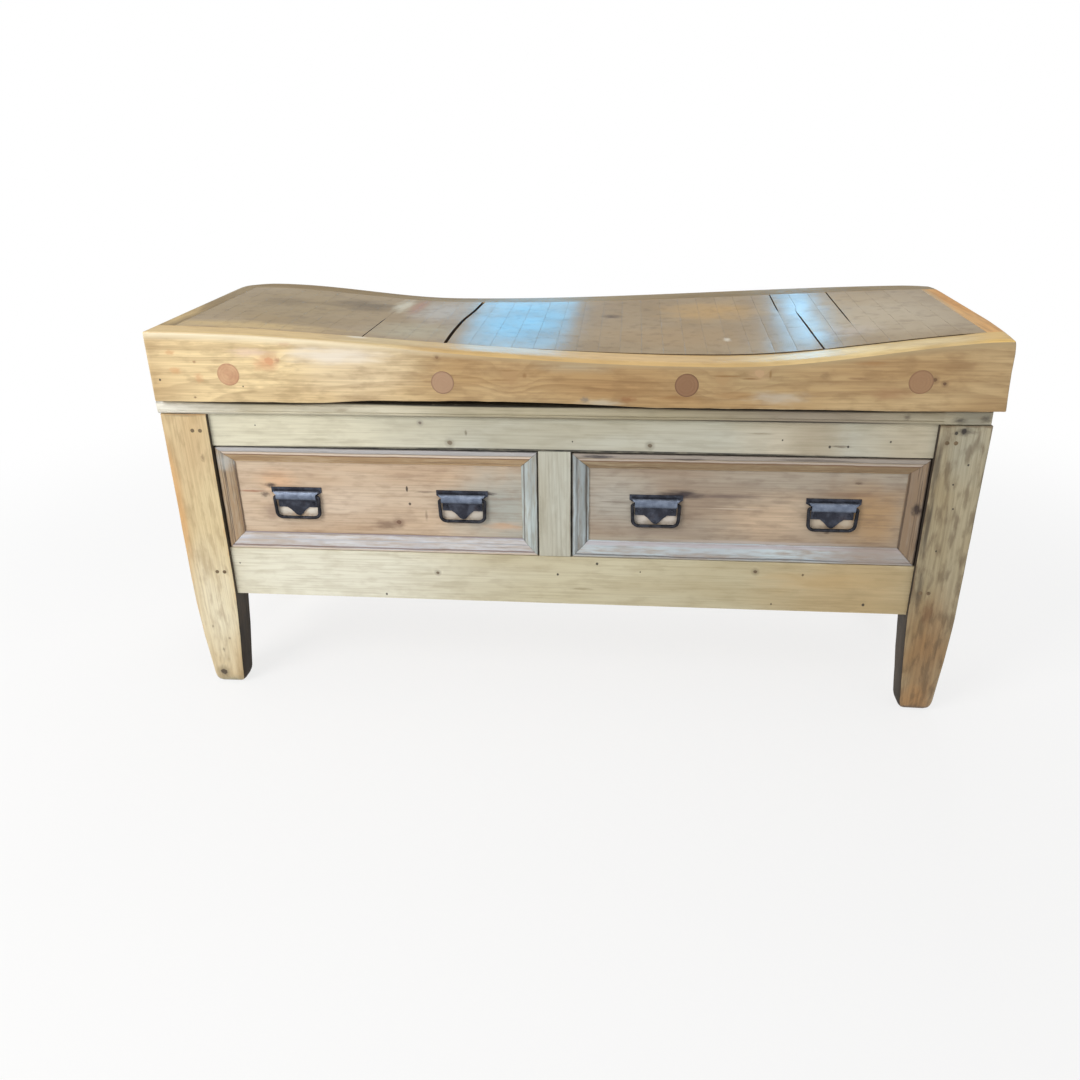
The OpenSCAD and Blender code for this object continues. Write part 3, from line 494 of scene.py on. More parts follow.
@dataclass(frozen=True)
class PineFinish(Finish):
    """Bare or waxed pine with rings, fibres, knots, marks, worn edges and, where asked, a paler crest that is
    partly a painted highlight.
    """

    name: str
    pale: Tint
    warm: Tint
    dark: Tint
    worn_edge: Tint
    spacing: float = 0.0075
    warp: float = 0.012
    lean: float = 0.03
    ring_share: float = 0.25
    fibre_share: float = 0.3
    mottle_share: float = 0.2
    edge_share: float = 0.5
    edge_width: float = 0.006
    roughness: Span = (0.45, 0.62)
    depth: float = 0.0004
    sheen: float = 0.5
    crest_highlight: tuple[Tint, Tint] | None = None
    crest_highlight_turn: Span = (-0.42, -0.1)
    crest_highlight_rise: Span = (0.87, 0.985)
    grounds: tuple[Mark, ...] = ()
    knots: tuple[Knot, ...] = ()
    marks: tuple[Mark, ...] = ()

    def dress(self, effects: Effects) -> Material:
        """Build the material.

        Args:
            effects: The shared node groups.

        Returns:
            The finished material.
        """
        material, graph, surface = self.start()
        place = graph.object_place()
        pull: object = 0.0
        knots = []
        for knot in self.knots:
            figure = graph.effect(effects.knot, Vector=place, Place=knot.place, Radius=knot.radius)
            pull = graph.plus(pull, figure["Pull"])
            knots.append((figure, knot.tint))
        grain = graph.effect(effects.pine, Vector=graph.attribute("grain"), Spacing=self.spacing,
                             Warp=self.warp, Lean=self.lean, Pull=pull)
        colour = graph.blend(grain["Patch"], shade(self.pale), shade(self.warm))
        colour = self.add_marks(graph, effects, place, colour, self.grounds)
        for mask, share in (("Mottle", self.mottle_share), ("Ring", self.ring_share),
                            ("Fibre", self.fibre_share)):
            colour = graph.lay(colour, self.dark, grain[mask], share)
        for figure, tint in knots:
            for mask, share in (("Halo", 0.35), ("Core", 0.85)):
                colour = graph.lay(colour, tint, figure[mask], share)
        colour = self.add_marks(graph, effects, place, colour, self.marks)
        edge = graph.effect(effects.edge, Vector=place, Low=graph.attribute("low"),
                            High=graph.attribute("high"), Width=self.edge_width)
        colour = graph.lay(colour, self.worn_edge, edge["Mask"], self.edge_share)
        # The crest: a paler band near the top, one tint at the left turning to another at the right, partly
        # worn wood and partly a painted highlight.
        if self.crest_highlight:
            turn = graph.between(graph.parts(place)["X"], *self.crest_highlight_turn)
            tint = graph.blend(turn, *(shade(end) for end in self.crest_highlight))
            crest_highlight = graph.between(graph.attribute("rise", "Fac"), *self.crest_highlight_rise)
            colour = graph.blend(graph.times(crest_highlight, graph.spread(grain["Patch"], 0.95, 0.65)), colour, tint)
        surface.inputs["Specular IOR Level"].default_value = self.sheen
        height = graph.plus(graph.times(grain["Ring"], 0.5), graph.times(grain["Fibre"], -0.5))
        self.cover(graph, surface, colour, graph.spread(grain["Patch"], *self.roughness), height, self.depth)
        return material


@dataclass(frozen=True)
class Line:
    """A line along a moulding at a share of its width from outside: dark ones are painted shade in the
    profile's steps and at its edges, with some grime, and some pale ones are painted highlights.
    """

    at: float
    half: float
    tint: Tint
    strength: float = 0.7


@dataclass(frozen=True)
class PaintedFinish(Finish):
    """Old thin paint over wood, worn through in streaks and chips along the grain."""

    name: str
    paint: Tint
    paint_dark: Tint
    wood: Tint
    crack: Tint
    cover_share: float = 0.5
    crack_share: float = 0.5
    roughness: Span = (0.5, 0.7)
    depth: float = 0.0005
    wander: float = 0.04
    lines: tuple[Line, ...] = ()
    marks: tuple[Mark, ...] = ()

    def dress(self, effects: Effects) -> Material:
        """Build the material.

        Args:
            effects: The shared node groups.

        Returns:
            The finished material.
        """
        material, graph, surface = self.start()
        place = graph.object_place()
        streak = graph.effect(effects.streak, Vector=graph.attribute("grain"), Cover=self.cover_share)
        coat = streak["Coat"]
        paint = graph.blend(streak["Cloud"], shade(self.paint), shade(self.paint_dark))
        colour = graph.blend(coat, shade(self.wood), paint)
        colour = graph.lay(colour, self.crack, streak["Crack"], self.crack_share)
        across = graph.plus(graph.attribute("across", "Fac"), graph.times(streak["Cloud"], self.wander))
        # Lines along the profile: the dark ones paint shade in its steps and at its edges, with some grime;
        # some pale ones paint highlights on the lip.
        for line in self.lines:
            away = graph.maths("ABSOLUTE", graph.less(across, line.at + self.wander / 2))
            share = graph.times(graph.between(away, line.half, line.half * 0.45), line.strength)
            broken = graph.spread(graph.times(streak["Crack"], coat), 1.0, 0.5)
            colour = graph.lay(colour, line.tint, share, broken)
        colour = self.add_marks(graph, effects, place, colour, self.marks)
        roughness = graph.spread(coat, self.roughness[1], self.roughness[0])
        self.cover(graph, surface, colour, roughness, graph.less(coat, streak["Crack"]), self.depth)
        return material


@dataclass(frozen=True)
class EndGrainFinish(Finish):
    """The worn, satin end grain of glued sticks, each with its own tone and rings."""

    name: str
    pale: Tint
    warm: Tint
    dark: Tint
    spacing: float = 0.0042
    tone_share: float = 0.28
    ring_share: float = 0.16
    mottle_share: float = 0.22
    sheen: float = 0.42
    roughness: Span = (0.25, 0.31)
    depth: float = 0.00008
    marks: tuple[Mark, ...] = ()

    def dress(self, effects: Effects) -> Material:
        """Build the material.

        Args:
            effects: The shared node groups.

        Returns:
            The finished material.
        """
        material, graph, surface = self.start()
        place = graph.object_place()
        flat = graph.vector("MULTIPLY", place, (1.0, 1.0, 0.0))
        figure = graph.effect(effects.end_grain, Vector=flat, Spacing=self.spacing,
                              Heart=graph.attribute("heart"))
        cloud = graph.noise(place, 9.0, 4.0)
        share = graph.plus(graph.times(graph.attribute("tone", "Fac"), self.tone_share),
                           graph.times(graph.between(cloud, 0.35, 0.65), 0.5))
        colour = graph.blend(share, shade(self.pale), shade(self.warm))
        for mask, share in (("Ring", self.ring_share), ("Pore", 0.18)):
            colour = graph.lay(colour, self.dark, figure[mask], share)
        colour = self.add_marks(graph, effects, place, colour, self.marks)
        mottle = graph.between(graph.noise(place, 42.0, 6.0), 0.48, 0.72)
        colour = graph.lay(colour, self.dark, mottle, self.mottle_share)
        surface.inputs["Specular IOR Level"].default_value = self.sheen
        roughness = graph.spread(graph.between(cloud, 0.3, 0.7), *self.roughness)
        height = graph.plus(graph.times(cloud, 2.0), graph.times(figure["Ring"], 0.4))
        self.cover(graph, surface, colour, roughness, height, self.depth)
        return material


@dataclass(frozen=True)
class PlugFinish(Finish):
    """The round end-grain plugs over the tie rods, with a darker glue ring."""

    name: str
    face: Tint
    warm: Tint
    rim: Tint
    radius: float
    marks: tuple[Mark, ...] = ()

    def dress(self, effects: Effects) -> Material:
        """Build the material.

        Args:
            effects: The shared node groups.

        Returns:
            The finished material.
        """
        material, graph, surface = self.start()
        place = graph.object_place()
        heart = graph.attribute("heart")
        figure = graph.effect(effects.end_grain, Vector=place, Heart=heart, Spacing=0.0046)
        away = graph.vector("MULTIPLY", graph.vector("SUBTRACT", place, heart), (1.0, 0.0, 1.0))
        cloud = graph.between(graph.noise(place, 60.0, 4.0), 0.35, 0.65)
        colour = graph.blend(cloud, shade(self.face), shade(self.warm))
        colour = graph.lay(colour, self.rim, figure["Ring"], 0.07)
        colour = self.add_marks(graph, effects, place, colour, self.marks)
        ring = graph.between(graph.vector("LENGTH", away), self.radius * 0.84, self.radius * 0.97)
        colour = graph.lay(colour, self.rim, ring, graph.attribute("tone", "Fac"))
        self.cover(graph, surface, colour, graph.spread(figure["Ring"], 0.45, 0.6), figure["Ring"], 0.0002)
        return material


@dataclass(frozen=True)
class IronFinish(Finish):
    """Blackened iron with a slate sheen, worn tone, pits and a little rust."""

    name: str
    dark: Tint
    sheen: Tint
    rust: Tint
    metallic: float = 0.75
    rust_share: float = 0.2
    roughness: Span = (0.36, 0.56)
    depth: float = 0.0003

    def dress(self, effects: Effects) -> Material:
        """Build the material and return it."""
        material, graph, surface = self.start()
        skin = graph.effect(effects.iron, Vector=graph.object_place())
        colour = graph.blend(skin["Tone"], shade(self.dark), shade(self.sheen))
        colour = graph.lay(colour, self.rust, skin["Rust"], self.rust_share)
        surface.inputs["Metallic"].default_value = self.metallic
        roughness = graph.spread(skin["Pit"], *self.roughness)
        self.cover(graph, surface, colour, roughness, skin["Pit"], self.depth)
        return material


@dataclass(frozen=True)
class FloorFinish(Finish):
    """A plain pale floor that fades to white for the camera and keeps a soft shadow."""

    name: str = "pale_floor"
    tint: Tint = (236, 236, 236)
    speck: Tint = (220, 220, 218)
    shadow_share: float = 0.22
    near: float = 1.2
    far: float = 2.6

    def dress(self) -> Material:
        """Build the material and return it."""
        material, graph, surface = self.start()
        place = graph.object_place()
        colour = graph.lay(shade(self.tint), self.speck, graph.noise(place, 6.0, 3.0), 0.06)
        graph.feed(surface.inputs["Base Color"], colour)
        surface.inputs["Roughness"].default_value = 0.9
        surface.inputs["Specular IOR Level"].default_value = 0.1
        white = graph.node("ShaderNodeEmission")
        white.inputs["Color"].default_value = (1.0, 1.0, 1.0, 1.0)
        path = graph.node("ShaderNodeLightPath").outputs
        seen = graph.maths("MAXIMUM", path["Is Camera Ray"], path["Is Glossy Ray"])
        away = graph.between(graph.vector("LENGTH", place), self.near, self.far)
        mixed = graph.node("ShaderNodeMixShader")
        graph.feed(mixed.inputs[0], graph.times(seen, graph.spread(away, 1.0 - self.shadow_share, 1.0)))
        graph.feed(mixed.inputs[1], surface.outputs[0])
        graph.feed(mixed.inputs[2], white.outputs[0])
        graph.feed(material.node_tree.nodes["Material Output"].inputs["Surface"], mixed.outputs[0])
        return material


class Finishes:
    """Every finish of the object, built once and found by name."""

    BLOCK = PineFinish(
        "waxed_front_pine", (206, 178, 132), (186, 152, 104), (126, 92, 54), (224, 204, 166),
        spacing=0.016, warp=0.048, lean=0.06, ring_share=0.3, fibre_share=0.24, mottle_share=0.3,
        edge_share=0.35, roughness=(0.42, 0.56), depth=0.0003,
        # Crest: cream at the left, darker to the right, partly worn wood and partly a painted highlight.
        crest_highlight=((236, 222, 190), (182, 158, 118)),
        grounds=stains_and_painted_light(-0.275, (
            # This broad pale patch over the left half is painted light: the face is paler where more light
            # falls.
            (-0.58, 0.735, 0.4, 0.2, (246, 222, 172), 0.95),
            (-0.31, 0.76, 0.12, 0.05, (226, 206, 164), 0.6),
            (0.03, 0.75, 0.11, 0.024, (186, 176, 150), 0.6),
            (0.34, 0.725, 0.2, 0.05, (192, 170, 128), 0.6),
            (0.62, 0.745, 0.22, 0.06, (182, 146, 98), 0.75),
            (-0.39, 0.73, 0.17, 0.08, (240, 220, 182), 0.75),
            (0.1, 0.705, 0.14, 0.03, (178, 140, 92), 0.6),
        ), 0.6),
        knots=(
            Knot((-0.556, -0.275, 0.749), 0.01, (214, 156, 116)),
            Knot((0.362, -0.275, 0.735), 0.01, (196, 162, 124)),
            Knot((-0.095, -0.275, 0.724), 0.018, (178, 144, 100)),
            Knot((0.296, -0.275, 0.724), 0.015, (180, 148, 104)),
            Knot((0.672, -0.275, 0.727), 0.0045, (104, 72, 46)),
            Knot((0.69, -0.275, 0.72), 0.0035, (92, 62, 42)),
            Knot((-0.232, -0.275, 0.76), 0.004, (120, 86, 54)),
        ),
        marks=(
            *stains_and_painted_light(-0.275, (
                (-0.59, 0.766, 0.06, 0.012, (232, 204, 184), 0.6),
                (-0.54, 0.752, 0.008, 0.008, (170, 112, 88), 0.6),
                (-0.43, 0.762, 0.13, 0.026, (238, 228, 212), 0.85),
                (-0.75, 0.765, 0.014, 0.008, (206, 152, 104), 0.6),
                (-0.745, 0.73, 0.018, 0.01, (214, 162, 112), 0.6),
                (-0.7, 0.716, 0.012, 0.014, (212, 160, 114), 0.55),
                (-0.568, 0.744, 0.03, 0.018, (222, 166, 122), 0.5),
                (-0.522, 0.784, 0.02, 0.008, (192, 136, 96), 0.55),
                (-0.704, 0.747, 0.005, 0.004, (146, 98, 60), 0.7),
                (-0.714, 0.677, 0.004, 0.003, (110, 72, 44), 0.8),
                (0.075, 0.676, 0.06, 0.011, (196, 184, 160), 0.8),
                (0.045, 0.682, 0.012, 0.008, (120, 112, 104), 0.7),
                (0.125, 0.684, 0.022, 0.009, (146, 98, 58), 0.7),
                (0.215, 0.688, 0.06, 0.008, (146, 104, 58), 0.6),
                (0.32, 0.694, 0.06, 0.01, (164, 124, 76), 0.5),
                (0.4, 0.69, 0.07, 0.018, (204, 194, 176), 0.6),
                (0.48, 0.733, 0.014, 0.01, (140, 112, 78), 0.5),
                (0.54, 0.728, 0.03, 0.004, (128, 92, 60), 0.6),
                (0.56, 0.756, 0.04, 0.006, (164, 120, 72), 0.6),
                (0.6, 0.7, 0.06, 0.018, (156, 112, 74), 0.5),
                (0.7, 0.752, 0.06, 0.01, (146, 110, 70), 0.5),
                (-0.17, 0.722, 0.03, 0.003, (158, 124, 80), 0.6),
                (-0.115, 0.718, 0.04, 0.0026, (150, 114, 70), 0.6),
                (-0.1, 0.736, 0.034, 0.0026, (150, 114, 70), 0.6),
                (0, 0.667, 0.8, 0.003, (216, 200, 166), 0.5),
            )),
            Mark((0.302, -0.275, 0.73), (0.036, 0.05, 0.0028), (140, 104, 58), 0.75, 0.5, 0.8),
            Mark((0.346, -0.275, 0.7255), (0.024, 0.05, 0.0026), (136, 100, 56), 0.75, 0.5, 0.8),
            Mark((0.382, -0.275, 0.734), (0.0035, 0.05, 0.011), (142, 106, 60), 0.7, 0.5, 0.8),
            Mark((-0.068, -0.275, 0.727), (0.006, 0.05, 0.007), (146, 108, 66), 0.7, 0.7, 0.8),
            *nails(-0.275, (-0.779, 0.711, 0.0026), (-0.614, 0.7, 0.0018)),
        ))
    BLOCK_TOP = PineFinish(
        "golden_top_pine", (226, 196, 138), (214, 180, 122), (150, 112, 68), (232, 208, 158),
        spacing=0.016, warp=0.02, lean=0.02, ring_share=0.18, fibre_share=0.16, mottle_share=0.14,
        edge_share=0.15, edge_width=0.004, roughness=(0.22, 0.28), depth=0.00012, sheen=0.36,
        grounds=(
            *stains_and_painted_light(-0.24, (
                (-0.64, 0.8, 0.26, 0.1, (238, 206, 142), 0.9),
                (-0.35, 0.78, 0.14, 0.1, (228, 208, 158), 0.8),
                (0.14, 0.77, 0.24, 0.1, (238, 200, 138), 0.85),
                # This very pale patch on the right is partly the wood's colour and partly a painted sheen.
                (0.54, 0.78, 0.3, 0.1, (255, 232, 174), 0.95),
            ), 0.6),
            Mark((0.79, -0.24, 0.8), (0.09, 0.14, 0.1), (255, 214, 130), 0.9, 0.6),
        ),
        marks=(
            # A pale band along the front arris, paler at the left: partly worn wood, partly a painted
            # highlight.
            Mark((-0.5, -0.275, 0.8), (0.48, 0.01, 0.05), (240, 224, 190), 0.9, 0.3, 0.8),
            Mark((-0.69, -0.216, 0.8), (0.06, 0.006, 0.05), (130, 100, 64), 0.6, 0.9, 0.8),
            Mark((-0.54, -0.216, 0.79), (0.05, 0.005, 0.05), (140, 108, 70), 0.5, 0.9, 0.8),
            Mark((-0.395, -0.222, 0.79), (0.03, 0.014, 0.05), (244, 236, 216), 0.8, 0.8),
        ))
    BACK = PineFinish(
        "waxed_back_pine", (222, 194, 146), (200, 160, 108), (140, 98, 56), (214, 178, 124),
        spacing=0.013, warp=0.028, lean=0.04, ring_share=0.34, fibre_share=0.24, edge_share=0.3,
        edge_width=0.01, roughness=(0.42, 0.56), depth=0.0003,
        knots=(Knot((0.37, 0.275, 0.73), 0.01, (120, 76, 44)),
               Knot((-0.45, 0.275, 0.745), 0.007, (150, 98, 60)),
               Knot((-0.06, 0.275, 0.705), 0.006, (120, 76, 44))),
        marks=(Mark((0.2, 0.275, 0.69), (0.3, 0.05, 0.02), (146, 104, 66), 0.4, 0.9),
               Mark((-0.5, 0.275, 0.7), (0.2, 0.05, 0.03), (236, 216, 178), 0.5, 0.9)))
    DARK_TOP = PineFinish(
        "olive_top_pine", (164, 144, 106), (150, 128, 90), (98, 78, 52), (176, 156, 118),
        spacing=0.012, warp=0.02, ring_share=0.2, fibre_share=0.2, edge_share=0.2,
        roughness=(0.34, 0.42), depth=0.00015, sheen=0.25,
        marks=(Mark((-0.786, -0.12, 0.79), (0.03, 0.16, 0.05), (222, 194, 138), 0.75, 0.8),))
    END = PineFinish(
        "warm_end_pine", (240, 190, 120), (230, 170, 98), (146, 98, 56), (232, 188, 130),
        spacing=0.01, warp=0.02, ring_share=0.22, fibre_share=0.2, edge_share=0.3, edge_width=0.008,
        roughness=(0.36, 0.46), depth=0.0003, sheen=0.35,
        knots=(Knot((0.806, 0.08, 0.735), 0.009, (130, 82, 46)),
               Knot((-0.8, -0.1, 0.725), 0.008, (130, 82, 46))),
        marks=(Mark((0.768, 0.13, 0.8), (0.016, 0.24, 0.02), (192, 168, 132), 0.85, 0.3, 0.8),))
    TILES = EndGrainFinish(
        "worn_end_grain", (182, 160, 124), (162, 138, 100), (90, 70, 48), tone_share=0.42, ring_share=0.14,
        sheen=0.36, roughness=(0.19, 0.25),
        marks=(
            *stains_and_painted_light(-0.11,
                    ((-0.56, 0.79, 0.14, 0.2, (146, 122, 74), 0.6),
                     (-0.62, 0.79, 0.1, 0.2, (176, 146, 96), 0.5),
                            # This pale grey patch on the right is a painted sheen.
                            (0.56, 0.79, 0.08, 0.2, (206, 196, 192), 0.5))),
            Mark((-0.6, 0.02, 0.79), (0.34, 0.34, 0.2), (166, 144, 100), 0.8, 0.6),
            Mark((-0.64, -0.185, 0.79), (0.3, 0.05, 0.2), (214, 184, 124), 0.85, 0.7),
            Mark((-0.63, 0.06, 0.79), (0.1, 0.07, 0.2), (124, 102, 60), 0.6, 0.9, 0.95),
            Mark((-0.46, 0.09, 0.79), (0.12, 0.09, 0.2), (104, 84, 48), 0.8, 1.0, 0.95),
            # The next four marks left of the wide crack are painted light: a grey sheen, a whitish and a
            # reddish streak of reflection, and a pale sheen near the front.
            Mark((-0.29, 0.09, 0.79), (0.09, 0.2, 0.2), (196, 196, 192), 0.7, 0.5),
            Mark((-0.384, 0.13, 0.79), (0.028, 0.12, 0.2), (232, 228, 206), 0.75, 0.7, 0.95),
            Mark((-0.35, 0.13, 0.79), (0.024, 0.13, 0.2), (178, 130, 104), 0.8, 0.7, 0.95),
            Mark((-0.31, -0.13, 0.79), (0.12, 0.12, 0.2), (190, 186, 160), 0.6, 0.6, 0.95),
            Mark((-0.09, 0.0, 0.77), (0.13, 0.26, 0.2), (140, 134, 120), 0.8, 0.4, 0.7),
            Mark((0.086, 0.062, 0.77), (0.03, 0.024, 0.2), (88, 68, 52), 0.85, 0.8),
            Mark((0.04, 0.1, 0.77), (0.07, 0.16, 0.2), (158, 138, 108), 0.5, 0.8, 0.95),
            Mark((0.3, 0.095, 0.77), (0.15, 0.11, 0.2), (198, 160, 98), 0.9, 0.9),
            Mark((0.23, -0.1, 0.77), (0.24, 0.12, 0.2), (180, 150, 106), 0.6, 0.7, 0.95),
            Mark((0.316, -0.12, 0.77), (0.01, 0.02, 0.2), (232, 222, 202), 0.8, 0.9),
            # A pale patch over the right of the top: a painted sheen.
            Mark((0.64, 0.0, 0.79), (0.24, 0.28, 0.2), (204, 188, 160), 0.85, 0.6),
            Mark((0.6, 0.13, 0.79), (0.14, 0.08, 0.2), (188, 164, 124), 0.5, 0.8, 0.95),
        ))
    JOINT = PineFinish(
        "dark_joint_wood", (84, 64, 46), (58, 44, 32), (22, 18, 14), (60, 46, 34), roughness=(0.8, 0.9),
        edge_share=0.0)
    PLUG = PlugFinish(
        "plug_end_grain", (208, 166, 128), (196, 150, 114), (120, 86, 62), 0.022,
        marks=(
            Mark((-0.224, -0.275, 0.712), (0.035, 0.04, 0.035), (172, 140, 112), 0.9, 0.2, 0.3),
            Mark((0.232, -0.275, 0.712), (0.035, 0.04, 0.035), (140, 104, 74), 0.95, 0.2, 0.3),
            Mark((0.649, -0.275, 0.723), (0.035, 0.04, 0.035), (160, 124, 90), 0.95, 0.2, 0.3),
        ))
    LEG_LEFT = PineFinish(
        "yellow_leg_pine", (222, 203, 160), (210, 182, 136), (152, 122, 82), (220, 178, 124),
        spacing=0.0085, warp=0.014, lean=0.02, ring_share=0.12, fibre_share=0.24, mottle_share=0.36,
        edge_share=0.5, roughness=(0.5, 0.66),
        grounds=stains_and_painted_light(-0.24, (
            (-0.75, 0.56, 0.08, 0.11, (206, 178, 136), 0.6),
            (-0.76, 0.19, 0.09, 0.22, (242, 234, 206), 0.95),
        ), 0.6),
        knots=(Knot((-0.769, -0.25, 0.03), 0.009, (58, 44, 34)),),
        marks=(
            *stains_and_painted_light(-0.255, (
                (-0.73, 0.545, 0.006, 0.012, (120, 88, 58), 0.6),
                (-0.76, 0.09, 0.004, 0.008, (110, 84, 58), 0.6),
                (-0.775, 0.15, 0.004, 0.006, (120, 92, 62), 0.6),
                (-0.742, 0.12, 0.004, 0.006, (120, 92, 62), 0.6),
            )),
            Mark((-0.76, -0.25, 0.0), (0.075, 0.08, 0.03), (156, 158, 140), 0.75, 0.8),
            Mark((-0.8, -0.255, 0.45), (0.018, 0.05, 0.2), (222, 166, 104), 0.5, 0.7),
            Mark((-0.75, -0.255, 0.636), (0.07, 0.05, 0.006), (92, 78, 60), 0.7, 0.6),
        ))
    LEG_RIGHT = PineFinish(
        "grey_leg_pine", (186, 174, 144), (164, 146, 110), (94, 74, 50), (104, 84, 60),
        spacing=0.01, warp=0.024, lean=0.03, ring_share=0.18, fibre_share=0.22, mottle_share=0.55,
        edge_share=0.7, edge_width=0.0045, roughness=(0.5, 0.66),
        grounds=stains_and_painted_light(-0.24, (
            (0.75, 0.6, 0.08, 0.12, (182, 178, 158), 0.8),
            (0.75, 0.15, 0.09, 0.19, (158, 117, 70), 0.85),
            (0.74, 0.02, 0.08, 0.07, (184, 134, 80), 0.75),
        ), 0.6),
        marks=(
            *stains_and_painted_light(-0.255, (
                (0.708, 0.56, 0.01, 0.08, (70, 58, 46), 0.7),
                (0.71, 0.43, 0.008, 0.12, (58, 46, 36), 0.75),
                (0.716, 0.3, 0.008, 0.06, (64, 50, 38), 0.6),
                (0.74, 0.24, 0.016, 0.04, (120, 84, 54), 0.6),
                (0.8, 0.52, 0.01, 0.12, (84, 78, 64), 0.6),
            )),
            Mark((0.752, -0.255, 0.0), (0.07, 0.1, 0.016), (48, 36, 28), 0.85, 0.6),
            Mark((0.748, -0.255, 0.626), (0.026, 0.05, 0.012), (62, 54, 44), 0.75, 1.2),
            *nails(-0.255, (0.746, 0.626, 0.006), (0.733, 0.622, 0.004), (0.765, 0.56, 0.0025),
                    (0.744, 0.52, 0.0022), (0.752, 0.47, 0.0022), (0.735, 0.38, 0.0022)),
        ))
    LEG_BACK = PineFinish(
        "plain_leg_pine", (206, 184, 142), (184, 154, 108), (124, 92, 58), (190, 156, 108),
        spacing=0.0085, warp=0.014, ring_share=0.24, fibre_share=0.3, mottle_share=0.3, edge_share=0.35,
        edge_width=0.008, roughness=(0.5, 0.66),
        knots=(Knot((-0.76, 0.255, 0.42), 0.007), Knot((0.745, 0.255, 0.18), 0.006)))
    # Near-black wood for the front legs' inner faces: painted shade where they face into the stand.
    LEG_INNER_SHADE = PineFinish(
        "painted_shade_leg_inside", (70, 58, 44), (50, 40, 30), (26, 22, 18), (64, 52, 40), spacing=0.009,
        ring_share=0.3, fibre_share=0.4, mottle_share=0.4, edge_share=0.0, roughness=(0.7, 0.85))
    STRIP = PineFinish(
        "scrubbed_strip_pine", (196, 188, 162), (176, 166, 138), (124, 112, 88), (206, 198, 172),
        spacing=0.009, warp=0.01, ring_share=0.12, fibre_share=0.22, mottle_share=0.16, edge_share=0.2,
        edge_width=0.004, roughness=(0.55, 0.7),
        grounds=stains_and_painted_light(-0.25, (
            (-0.44, 0.65, 0.3, 0.1, (222, 216, 194), 0.9),
            (-0.78, 0.65, 0.18, 0.1, (250, 248, 236), 0.95),
            (0.48, 0.65, 0.3, 0.1, (160, 148, 132), 0.85),
            (0.765, 0.65, 0.07, 0.1, (158, 154, 136), 0.95),
        ), 0.6),
        marks=(
            *stains_and_painted_light(-0.257, (
                (0.64, 0.652, 0.01, 0.008, (74, 62, 52), 0.6),
                (0.78, 0.65, 0.016, 0.01, (66, 58, 50), 0.7),
                (0.735, 0.646, 0.02, 0.009, (58, 50, 42), 0.8),
                (-0.43, 0.65, 0.02, 0.006, (150, 136, 108), 0.5),
            )),
            # These three near-black marks along the top of the nosing are painted shadow under the block's
            # overhanging edge.
            Mark((-0.13, -0.25, 0.6665), (0.46, 0.03, 0.0085), (14, 12, 10), 0.97, 0.25, 0.35),
            Mark((-0.6, -0.25, 0.6665), (0.28, 0.03, 0.0098), (30, 24, 18), 0.92, 0.3, 0.4),
            Mark((0.4, -0.25, 0.6665), (0.48, 0.03, 0.01), (24, 20, 16), 0.95, 0.3, 0.4),
            # These two darker lines along the lower edge are painted shade on its underside.
            Mark((-0.1, -0.257, 0.6385), (0.7, 0.05, 0.003), (112, 104, 86), 0.6, 0.4, 0.8),
            Mark((0.42, -0.257, 0.6385), (0.285, 0.05, 0.0034), (40, 34, 28), 0.9, 0.3, 0.6),
        ))
    RAIL_TOP = PineFinish(
        "scrubbed_top_rail_pine", (204, 204, 190), (190, 186, 166), (136, 124, 96), (206, 198, 174),
        spacing=0.009, warp=0.014, lean=0.02, ring_share=0.14, fibre_share=0.2, mottle_share=0.16,
        edge_share=0.25, edge_width=0.005, roughness=(0.55, 0.7),
        grounds=stains_and_painted_light(-0.246, (
            (-0.56, 0.6, 0.42, 0.2, (228, 223, 198), 0.9),
            (0.42, 0.6, 0.12, 0.2, (210, 196, 170), 0.6),
            (0.65, 0.6, 0.12, 0.2, (200, 188, 162), 0.8),
            (0.49, 0.59, 0.09, 0.2, (180, 167, 142), 0.75),
        ), 0.6),
        knots=(Knot((-0.222, -0.246, 0.583), 0.0058, (118, 104, 84)),
               Knot((0.17, -0.246, 0.584), 0.005, (104, 90, 70)),
               Knot((-0.279, -0.246, 0.623), 0.0036, (120, 108, 98))),
        marks=(
            *stains_and_painted_light(-0.246, (
                (-0.189, 0.604, 0.004, 0.008, (104, 92, 70), 0.7),
                (0.53, 0.589, 0.024, 0.004, (84, 70, 52), 0.6),
                (0.38, 0.612, 0.03, 0.003, (120, 100, 70), 0.5),
            )),
            *nails(-0.246, (0.509, 0.588, 0.003), (0.543, 0.589, 0.0026), (-0.614, 0.613, 0.0016),
                    (0.42, 0.6, 0.002), (0.62, 0.6, 0.0024), (0.02, 0.59, 0.0018)),
            # A near-black line along the rail's lower edge: painted shadow over the gap above the drawers.
            Mark((0.0, -0.246, 0.569), (0.76, 0.05, 0.0052), (16, 13, 10), 0.95, 0.3, 0.45),
        ))
